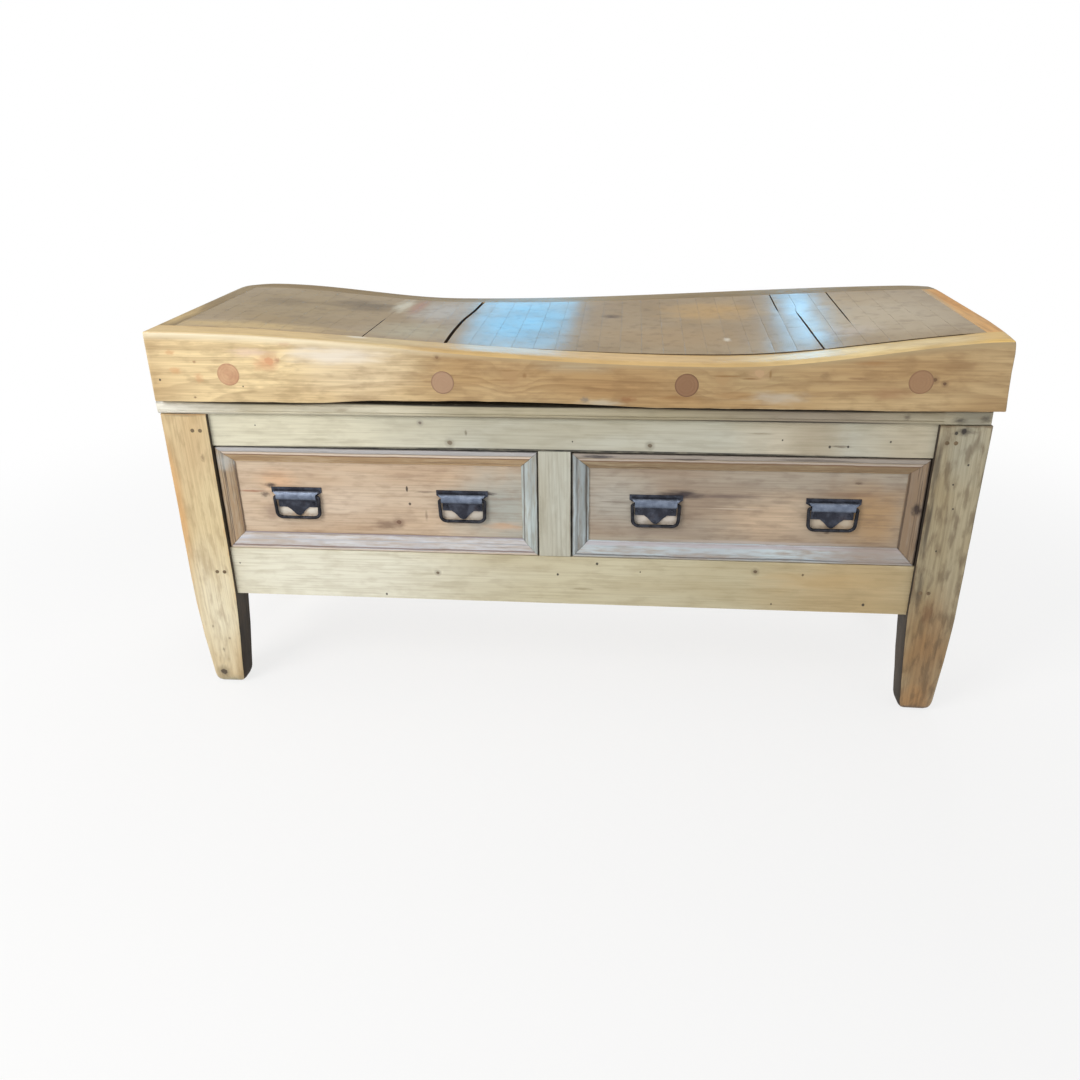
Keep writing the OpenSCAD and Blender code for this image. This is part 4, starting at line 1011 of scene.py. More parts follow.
    RAIL_BOTTOM = PineFinish(
        "scrubbed_bottom_rail_pine", (212, 204, 174), (196, 184, 150), (144, 124, 86), (216, 206, 172),
        spacing=0.011, warp=0.024, lean=0.03, ring_share=0.16, fibre_share=0.2, mottle_share=0.18,
        edge_share=0.25, edge_width=0.005, roughness=(0.55, 0.7),
        grounds=stains_and_painted_light(-0.246, (
            (-0.5, 0.285, 0.5, 0.2, (240, 238, 220), 0.95),
            (0.6, 0.285, 0.28, 0.2, (196, 170, 124), 0.85),
        ), 0.6),
        knots=(Knot((0.392, -0.246, 0.319), 0.0044, (88, 68, 48)),
               Knot((-0.263, -0.246, 0.295), 0.004, (98, 80, 58))),
        marks=(
            *nails(-0.246, (0.071, 0.327, 0.0034), (0.487, 0.315, 0.003), (0.614, 0.251, 0.0036),
                    (-0.377, 0.241, 0.0028), (-0.692, 0.305, 0.002), (0.16, 0.311, 0.0018),
                    (-0.01, 0.3, 0.003), (0.43, 0.246, 0.0022)),
            Mark((0.04, -0.246, 0.268), (0.03, 0.05, 0.004), (130, 112, 78), 0.5, 1.1),
            Mark((0.52, -0.246, 0.3), (0.16, 0.05, 0.03), (204, 172, 120), 0.4, 0.9),
        ))
    MUNTIN = PineFinish(
        "scrubbed_muntin_pine", (202, 203, 190), (190, 186, 168), (138, 126, 102), (206, 202, 182),
        spacing=0.009, warp=0.012, ring_share=0.14, fibre_share=0.22, mottle_share=0.18, edge_share=0.2,
        roughness=(0.55, 0.7),
        # Two dark lines down the muntin's edges: painted shadow of the gaps beside the drawers.
        marks=(Mark((0.0185, -0.246, 0.455), (0.0034, 0.05, 0.3), (22, 18, 14), 0.95, 0.2, 0.4),
               Mark((-0.049, -0.246, 0.455), (0.0022, 0.05, 0.3), (70, 62, 50), 0.8, 0.2, 0.5)))
    STAND = PineFinish(
        "scrubbed_pine", (214, 204, 172), (194, 176, 136), (140, 118, 82), (208, 196, 162),
        spacing=0.01, warp=0.018, ring_share=0.24, fibre_share=0.24, mottle_share=0.22, edge_share=0.3,
        roughness=(0.55, 0.7))
    PANEL = PineFinish(
        "side_panel_pine", (208, 190, 152), (186, 158, 114), (134, 102, 66), (196, 174, 132),
        spacing=0.013, warp=0.032, lean=0.05, ring_share=0.32, fibre_share=0.26, mottle_share=0.24,
        roughness=(0.55, 0.7))
    INNER = PineFinish(
        "bare_inner_pine", (214, 194, 150), (190, 160, 114), (142, 108, 70), (196, 172, 128),
        spacing=0.009, warp=0.014, ring_share=0.3, fibre_share=0.3, roughness=(0.6, 0.75))
    BOX = PineFinish(
        "drawer_box_pine", (220, 200, 158), (200, 170, 122), (148, 112, 74), (206, 184, 140),
        spacing=0.0085, warp=0.012, ring_share=0.3, fibre_share=0.3, roughness=(0.55, 0.7))
    FRONT_LEFT = PineFinish(
        "left_drawer_face_pine", (215, 195, 170), (200, 171, 140), (132, 98, 74), (196, 172, 146),
        spacing=0.0105, warp=0.03, lean=0.02, ring_share=0.15, fibre_share=0.24, mottle_share=0.26,
        edge_share=0.35, edge_width=0.01, roughness=(0.5, 0.66),
        grounds=stains_and_painted_light(-0.232, (
            (-0.12, 0.44, 0.15, 0.14, (174, 178, 170), 0.95),
            (-0.59, 0.49, 0.06, 0.04, (224, 178, 136), 0.6),
            (-0.46, 0.44, 0.12, 0.06, (226, 208, 186), 0.7),
        ), 0.6),
        knots=(Knot((-0.341, -0.232, 0.403), 0.006, (112, 80, 62)),),
        marks=(
            *stains_and_painted_light(-0.232, (
                (-0.605, 0.48, 0.016, 0.008, (58, 46, 46), 0.85),
                (-0.62, 0.459, 0.014, 0.009, (96, 76, 64), 0.75),
                (-0.6, 0.42, 0.05, 0.03, (146, 122, 106), 0.6),
                (-0.579, 0.425, 0.028, 0.018, (226, 220, 208), 0.85),
                (-0.523, 0.425, 0.028, 0.018, (226, 220, 208), 0.85),
                (-0.233, 0.425, 0.028, 0.018, (224, 216, 204), 0.85),
                (-0.177, 0.425, 0.028, 0.018, (224, 216, 204), 0.85),
                (-0.649, 0.466, 0.04, 0.0035, (160, 96, 66), 0.7),
                (-0.28, 0.472, 0.03, 0.0035, (96, 74, 62), 0.6),
                (-0.151, 0.471, 0.022, 0.006, (58, 48, 48), 0.85),
                (-0.2, 0.44, 0.07, 0.04, (160, 144, 130), 0.4),
                (-0.282, 0.42, 0.004, 0.016, (110, 84, 68), 0.5),
                (-0.366, 0.396, 0.045, 0.014, (112, 86, 68), 0.65),
                (-0.12, 0.4, 0.06, 0.014, (220, 172, 130), 0.5),
                (-0.38, 0.372, 0.3, 0.006, (128, 114, 106), 0.5),
            )),
            Mark((-0.319, -0.232, 0.478), (0.003, 0.02, 0.008), (52, 38, 32), 0.9, 0.4, 0.5),
            Mark((-0.315, -0.232, 0.445), (0.0035, 0.02, 0.004), (52, 38, 32), 0.9, 0.4, 0.5),
        ))
    FRONT_RIGHT = PineFinish(
        "right_drawer_face_pine", (180, 169, 152), (166, 147, 127), (108, 88, 74), (172, 158, 142),
        spacing=0.011, warp=0.03, lean=0.02, ring_share=0.14, fibre_share=0.24, mottle_share=0.26,
        edge_share=0.35, edge_width=0.01, roughness=(0.5, 0.66),
        grounds=stains_and_painted_light(-0.232, (
            (0.11, 0.46, 0.12, 0.08, (192, 189, 178), 0.8),
            (0.42, 0.43, 0.16, 0.08, (222, 194, 162), 0.7),
            (0.6, 0.44, 0.13, 0.1, (184, 148, 104), 0.9),
        ), 0.6),
        marks=(
            *stains_and_painted_light(-0.232, (
                (0.236, 0.478, 0.064, 0.014, (52, 42, 46), 0.95),
                (0.33, 0.477, 0.1, 0.008, (104, 86, 80), 0.7),
                (0.34, 0.4505, 0.08, 0.0025, (214, 198, 178), 0.6),
                (0.159, 0.425, 0.028, 0.018, (222, 214, 204), 0.85),
                (0.215, 0.425, 0.028, 0.018, (222, 214, 204), 0.85),
                (0.505, 0.425, 0.028, 0.018, (208, 194, 174), 0.85),
                (0.561, 0.425, 0.028, 0.018, (208, 194, 174), 0.85),
                (0.576, 0.51, 0.012, 0.004, (84, 62, 46), 0.7),
                (0.56, 0.485, 0.09, 0.009, (136, 106, 84), 0.5),
                (0.527, 0.404, 0.008, 0.005, (84, 62, 50), 0.7),
                (0.2, 0.395, 0.12, 0.01, (150, 134, 122), 0.4),
                (0.4, 0.376, 0.3, 0.008, (206, 196, 192), 0.6),
            )),
            Mark((0.099, -0.232, 0.4595), (0.04, 0.02, 0.0014), (96, 78, 66), 0.6, 0.4, 0.7),
        ))
    # In these tables the dark lines at the steps and edges are painted shade with some grime, and the
    # pinkish-white lines at 0.37 are painted highlights.
    STEP_SHADE = Line(0.47, 0.055, (124, 96, 74), 0.75)
    GRIME_AND_SHADE = Line(0.0, 0.07, (70, 60, 54), 0.75)
    PAINT = {
        "left_drawer_left": PaintedFinish(
            "tan_moulding", (202, 190, 168), (184, 164, 138), (182, 154, 122), (74, 60, 50), 0.6, 0.8,
            lines=(GRIME_AND_SHADE, Line(0.34, 0.05, (86, 68, 56), 0.7), Line(0.97, 0.07, (84, 68, 58), 0.8)),
            marks=(Mark((-0.69, -0.24, 0.535), (0.03, 0.05, 0.03), (196, 198, 194), 0.7, 0.9),)),
        "left_drawer_top": PaintedFinish(
            "grey_lip_moulding", (204, 180, 148), (188, 160, 124), (176, 146, 110), (104, 82, 62), 0.6, 0.4,
            lines=(Line(0.12, 0.22, (178, 179, 182), 0.9), Line(0.37, 0.08, (230, 216, 202), 0.75), STEP_SHADE)),
        "left_drawer_right": PaintedFinish(
            "blue_grey_moulding", (194, 206, 206), (172, 182, 182), (160, 156, 144), (112, 108, 102),
            0.8, 0.3,
            lines=(GRIME_AND_SHADE, Line(0.4, 0.05, (150, 156, 156), 0.6), Line(0.83, 0.06, (98, 92, 86), 0.8))),
        "left_drawer_bottom": PaintedFinish(
            "pale_lilac_moulding", (216, 216, 218), (192, 194, 202), (186, 174, 164), (132, 124, 126),
            0.8, 0.35,
            lines=(Line(0.05, 0.1, (214, 196, 176), 0.8), Line(0.2, 0.055, (122, 100, 92), 0.75),
                   Line(0.62, 0.04, (170, 178, 190), 0.5), Line(0.97, 0.06, (140, 128, 134), 0.7))),
        "right_drawer_left": PaintedFinish(
            "pale_blue_grey_moulding", (186, 198, 202), (162, 172, 174), (140, 134, 124), (88, 84, 80),
            0.8, 0.3,
            lines=(GRIME_AND_SHADE, Line(0.3, 0.05, (118, 120, 120), 0.7), Line(0.84, 0.06, (84, 78, 72), 0.8))),
        "right_drawer_top": PaintedFinish(
            "white_grey_moulding", (184, 166, 136), (166, 144, 112), (150, 126, 96), (92, 76, 62), 0.6, 0.4,
            lines=(Line(0.12, 0.22, (168, 160, 152), 0.85), Line(0.37, 0.08, (204, 192, 182), 0.7), STEP_SHADE),
            # Dark marks along the top of this member: painted shade under the top rail.
            marks=(Mark((0.073, -0.246, 0.56), (0.044, 0.03, 0.006), (50, 46, 52), 0.85, 1.1),
                   Mark((0.24, -0.246, 0.557), (0.06, 0.03, 0.004), (58, 50, 50), 0.75, 1.2),
                   Mark((0.48, -0.246, 0.56), (0.12, 0.03, 0.004), (72, 62, 56), 0.6, 1.2))),
        "right_drawer_right": PaintedFinish(
            "brown_grey_moulding", (158, 142, 124), (136, 118, 100), (142, 120, 96), (70, 58, 50), 0.6, 0.7,
            lines=(Line(0.0, 0.1, (56, 46, 42), 0.85), Line(0.38, 0.04, (104, 88, 74), 0.6),
                   Line(0.95, 0.07, (84, 68, 54), 0.8)),
            marks=(Mark((0.688, -0.24, 0.462), (0.012, 0.04, 0.018), (44, 32, 30), 0.9, 0.9, 0.8),)),
        "right_drawer_bottom": PaintedFinish(
            "blue_lower_moulding", (202, 216, 222), (184, 192, 198), (170, 158, 148), (108, 100, 98),
            0.8, 0.35,
            lines=(Line(0.04, 0.08, (170, 160, 146), 0.7), Line(0.17, 0.055, (84, 78, 74), 0.8),
                   Line(0.85, 0.14, (190, 182, 188), 0.7)),
            marks=(Mark((0.62, -0.24, 0.36), (0.13, 0.05, 0.05), (166, 150, 138), 0.75, 0.8),)),
    }
    HANDLE = IronFinish("slate_iron", (50, 52, 62), (76, 80, 92), (84, 62, 50), rust_share=0.15)
    # A lighter copy of the iron for the barrel: a painted highlight along it.
    BARREL_HIGHLIGHT = IronFinish("painted_highlight_slate_iron", (98, 108, 126), (122, 132, 150), (96, 84, 78), rust_share=0.1,
                        roughness=(0.32, 0.42))
    BAIL = IronFinish("black_iron", (34, 34, 39), (58, 59, 66), (72, 56, 46), rust_share=0.15,
                      roughness=(0.42, 0.58))
    NAIL = IronFinish("nail_iron", (104, 86, 62), (128, 108, 80), (116, 86, 58), metallic=0.2, rust_share=0.5)
    ROD = IronFinish("tie_rod_iron", (62, 60, 60), (118, 116, 114), (110, 72, 46), rust_share=0.5)

    def __init__(self, effects: Effects) -> None:
        """Keep the shared effects that the materials are built from."""
        self.effects = effects
        self.made: dict[str, Material] = {}

    def get(self, finish: Finish) -> Material:
        """Give a finish's material, built the first time it is wanted."""
        if finish.name not in self.made:
            self.made[finish.name] = finish.dress(self.effects)
        return self.made[finish.name]


# Shaping


def box_shape(low: Sequence[float], high: Sequence[float]) -> BMesh:
    """Start a piece as a block between its lowest and its highest corner."""
    shape = bmesh.new()
    middle = (Vector(low) + Vector(high)) / 2
    size = Vector(high) - Vector(low)
    matrix = Matrix.Translation(middle) @ Matrix.Diagonal((*size, 1.0))
    bmesh.ops.create_cube(shape, size=1.0, matrix=matrix)
    return shape


def cad_shape(node: str) -> BMesh:
    """Start a piece from a CAD node's own solid, with its loose triangles merged."""
    shape = bmesh.new()
    shape.from_mesh(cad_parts[node].data)
    bmesh.ops.remove_doubles(shape, verts=shape.verts, dist=0.00001)
    bmesh.ops.dissolve_limit(shape, angle_limit=math.radians(0.6), use_dissolve_boundaries=False,
                             verts=shape.verts, edges=shape.edges)
    return shape


def soften(shape: BMesh, radius: float, segments: int = 2, sharp: float = 35.0,
           where: Callable[[Vector], bool] | None = None) -> None:
    """Round the sharp edges of a shape.

    Args:
        shape: The shape to change.
        radius: How far each edge is cut back.
        segments: Faces across each rounding.
        sharp: Edges that turn by more than these degrees are rounded.
        where: A test of an edge's middle, where only some edges are wanted.
    """
    chosen = []
    for edge in shape.edges:
        if len(edge.link_faces) != 2 or edge.calc_face_angle(0.0) < math.radians(sharp):
            continue
        middle = (edge.verts[0].co + edge.verts[1].co) / 2
        if where is None or where(middle):
            chosen.append(edge)
    bmesh.ops.bevel(shape, geom=chosen, offset=radius, offset_type="OFFSET", segments=segments,
                    profile=0.5, affect="EDGES", material=-1, clamp_overlap=True)


def slice_at(shape: BMesh, axis: Axis, places: Iterable[float]) -> None:
    """Cut a shape's faces by planes across an axis, so that it can bend there."""
    for place in places:
        geometry = [*shape.verts, *shape.edges, *shape.faces]
        bmesh.ops.bisect_plane(shape, geom=geometry, dist=0.000001, plane_co=axis.along * place,
                               plane_no=axis.along)


def paint_faces(shape: BMesh, number: int, wanted: Callable[[BMFace], bool]) -> None:
    """Give the faces that pass a test another of the piece's materials."""
    shape.normal_update()
    for face in shape.faces:
        if wanted(face):
            face.material_index = number


def steps(start: float, end: float, step: float) -> list[float]:
    """List evenly spaced places between two ends, without the ends."""
    count = max(1, round((end - start) / step))
    return [start + (end - start) * place / count for place in range(1, count)]


def weather(shape: BMesh, depth: float, size: float, seed: float = 0.0) -> None:
    """Make a surface gently uneven.

    Args:
        shape: The shape to change.
        depth: How far a point may move.
        size: The size of the waves.
        seed: Makes one piece differ from the next.
    """
    for vert in shape.verts:
        vert.co += noise.noise_vector(vert.co / size + Vector((seed, seed * 2.0, seed * 3.0))) * depth


def islands(shape: BMesh) -> list[list[BMVert]]:
    """Find the loose parts of a shape, each as a list of its vertices."""
    found = []
    seen: set[BMVert] = set()
    for start in shape.verts:
        if start in seen:
            continue
        seen.add(start)
        part = [start]
        for vert in part:
            for edge in vert.link_edges:
                other = edge.other_vert(vert)
                if other not in seen:
                    seen.add(other)
                    part.append(other)
        found.append(part)
    return found


def put_in_scene(name: str, data: object) -> Object:
    """Make an object from its data and put it in the scene."""
    made = bpy.data.objects.new(name, data)
    bpy.context.scene.collection.objects.link(made)
    return made


@dataclass
class Part:
    """One visible piece: what it is called, what it rides on and what it stands for."""

    name: str
    body: str
    nodes: tuple[str, ...]
    slot: str
    grain: Axis = Axis.X
    heart: Triple = (0.0, 0.09, -0.03)
    seed: float = 1.0
    sharp: float = 40.0

    def finish(self, shape: BMesh, materials: Sequence[Material]) -> Object:
        """Turn a shape into a finished object.

        Args:
            shape: The piece's shape, which is used up.
            materials: Its materials, in the order of the shape's material numbers.

        Returns:
            The new object.
        """
        for vert in shape.verts:
            for axis in range(3):
                vert.co[axis] = min(max(vert.co[axis], CAD_BOX[0][axis]), CAD_BOX[1][axis])
        mesh = bpy.data.meshes.new(self.name)
        shape.to_mesh(mesh)
        shape.free()
        self.write_places(mesh)
        mesh.shade_smooth()
        mesh.set_sharp_from_angle(angle=math.radians(self.sharp))
        piece = put_in_scene(self.name, mesh)
        for material in materials:
            mesh.materials.append(material)
        weighted = piece.modifiers.new("even_shading", "WEIGHTED_NORMAL")
        weighted.keep_sharp = True
        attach(piece, self.body)
        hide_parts(*self.nodes)
        log.info("%s: %d faces on %s", self.name, len(mesh.polygons), self.body)
        return piece

    def write_places(self, mesh: Mesh) -> None:
        """Store in a mesh where each point lies along the grain and in the piece's box."""
        points = [vert.co for vert in mesh.vertices]
        low = Vector([min(point[axis] for point in points) for axis in range(3)])
        high = Vector([max(point[axis] for point in points) for axis in range(3)])
        pith = (low + high) / 2 + Vector(self.heart)
        order = [self.grain.value] + [axis for axis in range(3) if axis != self.grain.value]
        shift = (self.seed * 1.37, 0.0, 0.0)
        grain: list[float] = []
        for point in points:
            away = point - pith
            grain.extend(away[axis] + shift[place] for place, axis in enumerate(order))
        if "grain" not in mesh.attributes:
            mesh.attributes.new("grain", "FLOAT_VECTOR", "POINT").data.foreach_set("vector", grain)
        for label, corner in (("low", low), ("high", high)):
            data = mesh.attributes.new(label, "FLOAT_VECTOR", "POINT").data
            data.foreach_set("vector", [*corner] * len(points))


def dress_node(node: str, material: Material) -> None:
    """Give a CAD node that keeps its own shape a better material."""
    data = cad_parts[node].data
    data.materials.clear()
    data.materials.append(material)
    log.info("%s: keeps its shape", node)


def timber_copy(node: str, body: str, slot: str, finish: Material, grain: Axis, seed: float,
                radius: float = 0.0014, step: float = 0.03, depth: float = 0.0003,
                heart: Triple = (0.0, 0.09, -0.03)) -> Object:
    """Make a softened, slightly uneven length of timber from a CAD node.

    Args:
        node: The node it stands for.
        body: The body it rides on.
        slot: Not used; the part keeps it.
        finish: Its material.
        grain: The way its grain runs.
        seed: Makes it differ from other lengths.
        radius: Rounding of its edges.
        step: Distance between the cuts along it.
        depth: How uneven it is.
        heart: Where the tree's pith lies from its middle.

    Returns:
        The new object.
    """
    shape = cad_shape(node)
    soften(shape, radius)
    low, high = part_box(node)
    slice_at(shape, grain, steps(low[grain.value], high[grain.value], step))
    weather(shape, depth, 0.05, seed)
    part = Part(f"{node}.worn", body, (node,), slot, grain, heart, seed)
    return part.finish(shape, [finish])


# The block


@dataclass(frozen=True)
class Hollow:
    """A worn hollow along the block: its depth, its lowest place and its reach to each side."""

    depth: float
    lowest: float
    left: float
    right: float

    def at(self, x: float) -> float:
        """Give the hollow's depth at x."""
        return self.depth * swell((x - self.lowest) / (self.left if x < self.lowest else self.right))


@dataclass(frozen=True)
class Crack:
    """An open joint between two columns of tiles, with its ends, its width and its sway."""

    joint: int
    front: float
    back: float
    width: float
    sway: Pairs = ((0.0, 0.0),)


@dataclass
class WornBlock:
    """The heavy end-grain block: boards round a field of tiles, all worn to one hollow top."""

    middle_x: float = 0.0043
    half_length: float = 0.802
    half_depth: float = 0.275
    bed: float = 0.666
    thickness: float = 0.139
    core_half_length: float = 0.764
    core_half_depth: float = 0.215
    columns: int = 37
    tile_length: float = 0.43 / 5.5
    tile_lift: float = 0.00022
    heart_reach: Span = (0.03, 0.09)
    glue_gap: float = 0.00018
    arris_width: float = 0.014
    arris_drops: Pairs = ((-0.8, 0.001), (-0.45, 0.0018), (-0.15, 0.005), (0.45, 0.005), (0.8, 0.0025))
    corner_wear: Pairs = ((0.0, 0.0), (0.05, 0.003), (0.09, 0.0045), (0.115, 0.004), (0.136, 0.0085))
    core_step: Pairs = ((-0.12, 0.0), (0.05, 0.0008), (0.25, 0.0018), (0.72, 0.0018), (0.76, 0.0))
    plug_radius: float = 0.022
    plug_depth: float = 0.016
    plug_places: Pairs = ((-0.6445, 0.057), (-0.228, 0.046), (0.228, 0.046), (0.6445, 0.057))
    front_hollow: Hollow = Hollow(0.053, 0.282, 1.15, 0.6)
    back_hollow: Hollow = Hollow(0.033, -0.268, 0.48, 1.12)
    step_width: float = 0.05
    lower_wear: Pairs = ((-0.7, 0.0014), (-0.46, 0.003), (-0.36, 0.0085), (-0.2, 0.01), (-0.05, 0.0095),
                         (0.06, 0.006), (0.16, 0.0024), (0.6, 0.0018), (0.8, 0.0028))
    lower_wear_reach: Span = (0.055, 0.03)
    face_wear: Span = (0.0006, 0.0003)
    corner_wear_reach: Span = (0.16, 0.03)
    crack_fade: float = 0.03
    cracks: tuple[Crack, ...] = (
        Crack(9, -0.215, -0.022, 0.002),
        Crack(13, -0.215, 0.215, 0.0068,
              ((-0.215, -0.0035), (-0.11, -0.0065), (0.0, -0.0055), (0.11, 0.0035), (0.215, 0.0075))),
        Crack(29, 0.065, 0.215, 0.0026),
        Crack(30, -0.215, 0.065, 0.0036, ((-0.215, 0.005), (-0.12, 0.001), (-0.03, -0.002), (0.065, -0.006))),
        Crack(32, -0.065, 0.215, 0.0028))
    corner_reach: float = 0.075
    corner_drops: tuple[tuple[int, int, float], ...] = ((-1, 1, 0.005), (1, 1, 0.004), (1, -1, 0.003))
    fields: tuple[tuple[str, int, int], ...] = (
        ("core_left", 0, 13), ("core_middle_left", 13, 21),
        ("core_middle_right", 21, 29), ("core_right", 29, 37))

    def top(self, x: float, y: float) -> float:
        """Height of the worn top over a point of its plan.

        Args:
            x: Along the block, in the frame.
            y: Across it.

        Returns:
            The height above the floor.
        """
        x -= self.middle_x
        back = (y + self.half_depth) / (2 * self.half_depth)
        worn = (1 - back) * self.front_hollow.at(x) + back * self.back_hollow.at(x)
        inside = min(self.half_length - abs(x), self.half_depth - abs(y))
        if inside < self.arris_width:
            worn += trace(self.arris_drops, x) * (1 - max(0.0, inside) / self.arris_width) ** 2
        for side, end, drop in self.corner_drops:
            away = math.hypot(self.half_length - side * x, self.half_depth - end * y)
            worn += drop * max(0.0, 1 - away / self.corner_reach) ** 2
        return self.bed + self.thickness - worn

    def drape(self, shape: BMesh) -> None:
        """Bring a straight shape under the worn top, each point by its share of the height."""
        rise = shape.verts.layers.float.new("rise")
        for vert in shape.verts:
            share = (vert.co.z - self.bed) / self.thickness
            vert[rise] = share
            vert.co.z = self.bed + share * (self.top(vert.co.x, vert.co.y) - self.bed)

    def board_shape(self, node: str) -> BMesh:
        """Shape one board of the frame round the tiles.

        Args:
            node: The board's CAD node, which gives its plan.

        Returns:
            The draped board.
        """
        low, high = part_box(node)
        top = self.bed + self.thickness
        shape = box_shape((low.x, low.y, self.bed), (high.x, high.y, top))
        soften(shape, 0.003, 3, where=self.on_outline)
        soften(shape, 0.0008, 1, sharp=60.0)
        slice_at(shape, Axis.X, steps(low.x, high.x, 0.016 if high.x - low.x > 0.1 else 0.006))
        insets = (0.004, 0.007, 0.01, self.arris_width, 0.03)
        across = [side * (self.half_depth - inset) for inset in insets for side in (-1, 1)]
        across += steps(low.y, high.y, 0.03)
        slice_at(shape, Axis.Y, [place for place in sorted(across) if low.y + 0.002 < place < high.y - 0.002])
        ends = [self.middle_x + side * (self.half_length - inset) for inset in insets for side in (-1, 1)]
        slice_at(shape, Axis.X, [place for place in ends if low.x < place < high.x])
        slice_at(shape, Axis.Z, [self.bed + rise for rise in (0.006, 0.012, 0.022, 0.045, 0.08, 0.115, 0.13)])
        self.drape(shape)
        end = self.middle_x + self.half_length
        for vert in shape.verts:
            behind = (vert.co.y + self.half_depth) / self.corner_wear_reach[0]
            inward = (end - vert.co.x) / self.corner_wear_reach[1]
            near = max(0.0, 1 - behind) * max(0.0, 1 - inward)
            vert.co.x -= trace(self.corner_wear, vert.co.z - self.bed) * near
        return shape

    @staticmethod
    def faces_up(face: BMFace) -> bool:
        """Say whether a face belongs to the worn top."""
        return face.normal.z > 0.45

    def on_outline(self, place: Vector) -> bool:
        """Say whether an edge's middle lies on the outside of the block."""
        inside = min(self.half_length - abs(place.x - self.middle_x), self.half_depth - abs(place.y))
        return inside < 0.001

    def lower_wave(self, x: float) -> float:
        """How far the ragged lower front edge is worn up at x."""
        x -= self.middle_x
        reach = trace(self.lower_wear, x)
        ripple = sum(depth * noise.noise(Vector((x * turns, row, 0.0)))
                     for depth, turns, row in ((0.0012, 9.0, 3.0), (0.0007, 31.0, 7.0)))
        return max(0.0, reach + ripple * min(1.0, reach / 0.002))

    def wear_front(self, shape: BMesh) -> None:
        """Wear the face back, its lower edge up into a ragged line and its top below the tiles."""
        rise = shape.verts.layers.float["rise"]
        for vert in shape.verts:
            if vert[rise] > 0.9:
                inward = min(1.0, (vert.co.y + self.half_depth) / self.step_width)
                vert.co.z -= inward * trace(self.core_step, vert.co.x)
            behind = vert.co.y + self.half_depth
            above = vert.co.z - self.bed
            fade = max(0.0, 1 - behind / self.lower_wear_reach[0]) * max(0.0,
                                                                         1 - above / self.lower_wear_reach[1])
            if behind < 0.004:
                cloud = noise.noise(Vector((vert.co.x * 14.0, 0.0, vert.co.z * 30.0)))
                vert.co.y += self.face_wear[0] + self.face_wear[1] * cloud
            vert.co.z += self.lower_wave(vert.co.x) * fade

    def build_boards(self, finishes: Finishes) -> None:
        """Make the front, back and end boards."""
        shape = self.board_shape("block_front_board")
        self.wear_front(shape)
        paint_faces(shape, 1, self.faces_up)
        front = Part("front_plank", "stand", ("block_front_board",), "block_pine", Axis.X,
                     (0.3, 0.035, -0.055), 1.0)
        front.finish(shape, [finishes.get(Finishes.BLOCK), finishes.get(Finishes.BLOCK_TOP)])
        shape = self.board_shape("block_back_board")
        paint_faces(shape, 1, self.faces_up)
        back = Part("back_plank", "stand", ("block_back_board",), "block_pine", Axis.X,
                    (0.1, -0.03, -0.06), 2.0)
        back.finish(shape, [finishes.get(Finishes.BACK), finishes.get(Finishes.DARK_TOP)])
        for seed, (side, top) in enumerate((("left", Finishes.DARK_TOP), ("right", Finishes.END))):
            node = f"block_{side}_end"
            shape = self.board_shape(node)
            paint_faces(shape, 1, self.faces_up)
            part = Part(f"{side}_end_plank", "stand", (node,), "end_board_pine", Axis.Y,
                        (0.05, 0.2, -0.07), 3.0 + seed)
            part.finish(shape, [finishes.get(Finishes.END), finishes.get(top)])

    def column_edge(self, number: int) -> float:
        """Where a joint between two columns of tiles lies."""
        return self.middle_x - self.core_half_length + 2 * self.core_half_length * number / self.columns

    def tile_rows(self, column: int) -> list[tuple[float, float]]:
        """Front and back ends of each tile in a column, whose short tile changes ends."""
        start = -self.core_half_depth
        first = self.tile_length / 2 if column % 2 == 0 else self.tile_length
        cuts = [start, *(start + first + self.tile_length * count for count in range(5)),
                self.core_half_depth]
        return list(zip(cuts, cuts[1:]))

    def joint_shift(self, joint: int, side: int, y: float) -> float:
        """How far the tiles beside a joint stand back or sway at y.

        Args:
            joint: The joint's number.
            side: 1 for the tiles right of it, -1 for those left of it.
            y: Where along the joint.

        Returns:
            The shift along the block.
        """
        shift = 0.0
        for crack in self.cracks:
            if crack.joint == joint and crack.front - 0.001 <= y <= crack.back + 0.001:
                ends = [y - crack.front if crack.front > -self.core_half_depth else 1.0,
                        crack.back - y if crack.back < self.core_half_depth else 1.0]
                fade = min(1.0, max(0.0, min(ends)) / self.crack_fade)
                shift += side * crack.width / 2 * fade + trace(crack.sway, y)
        return shift

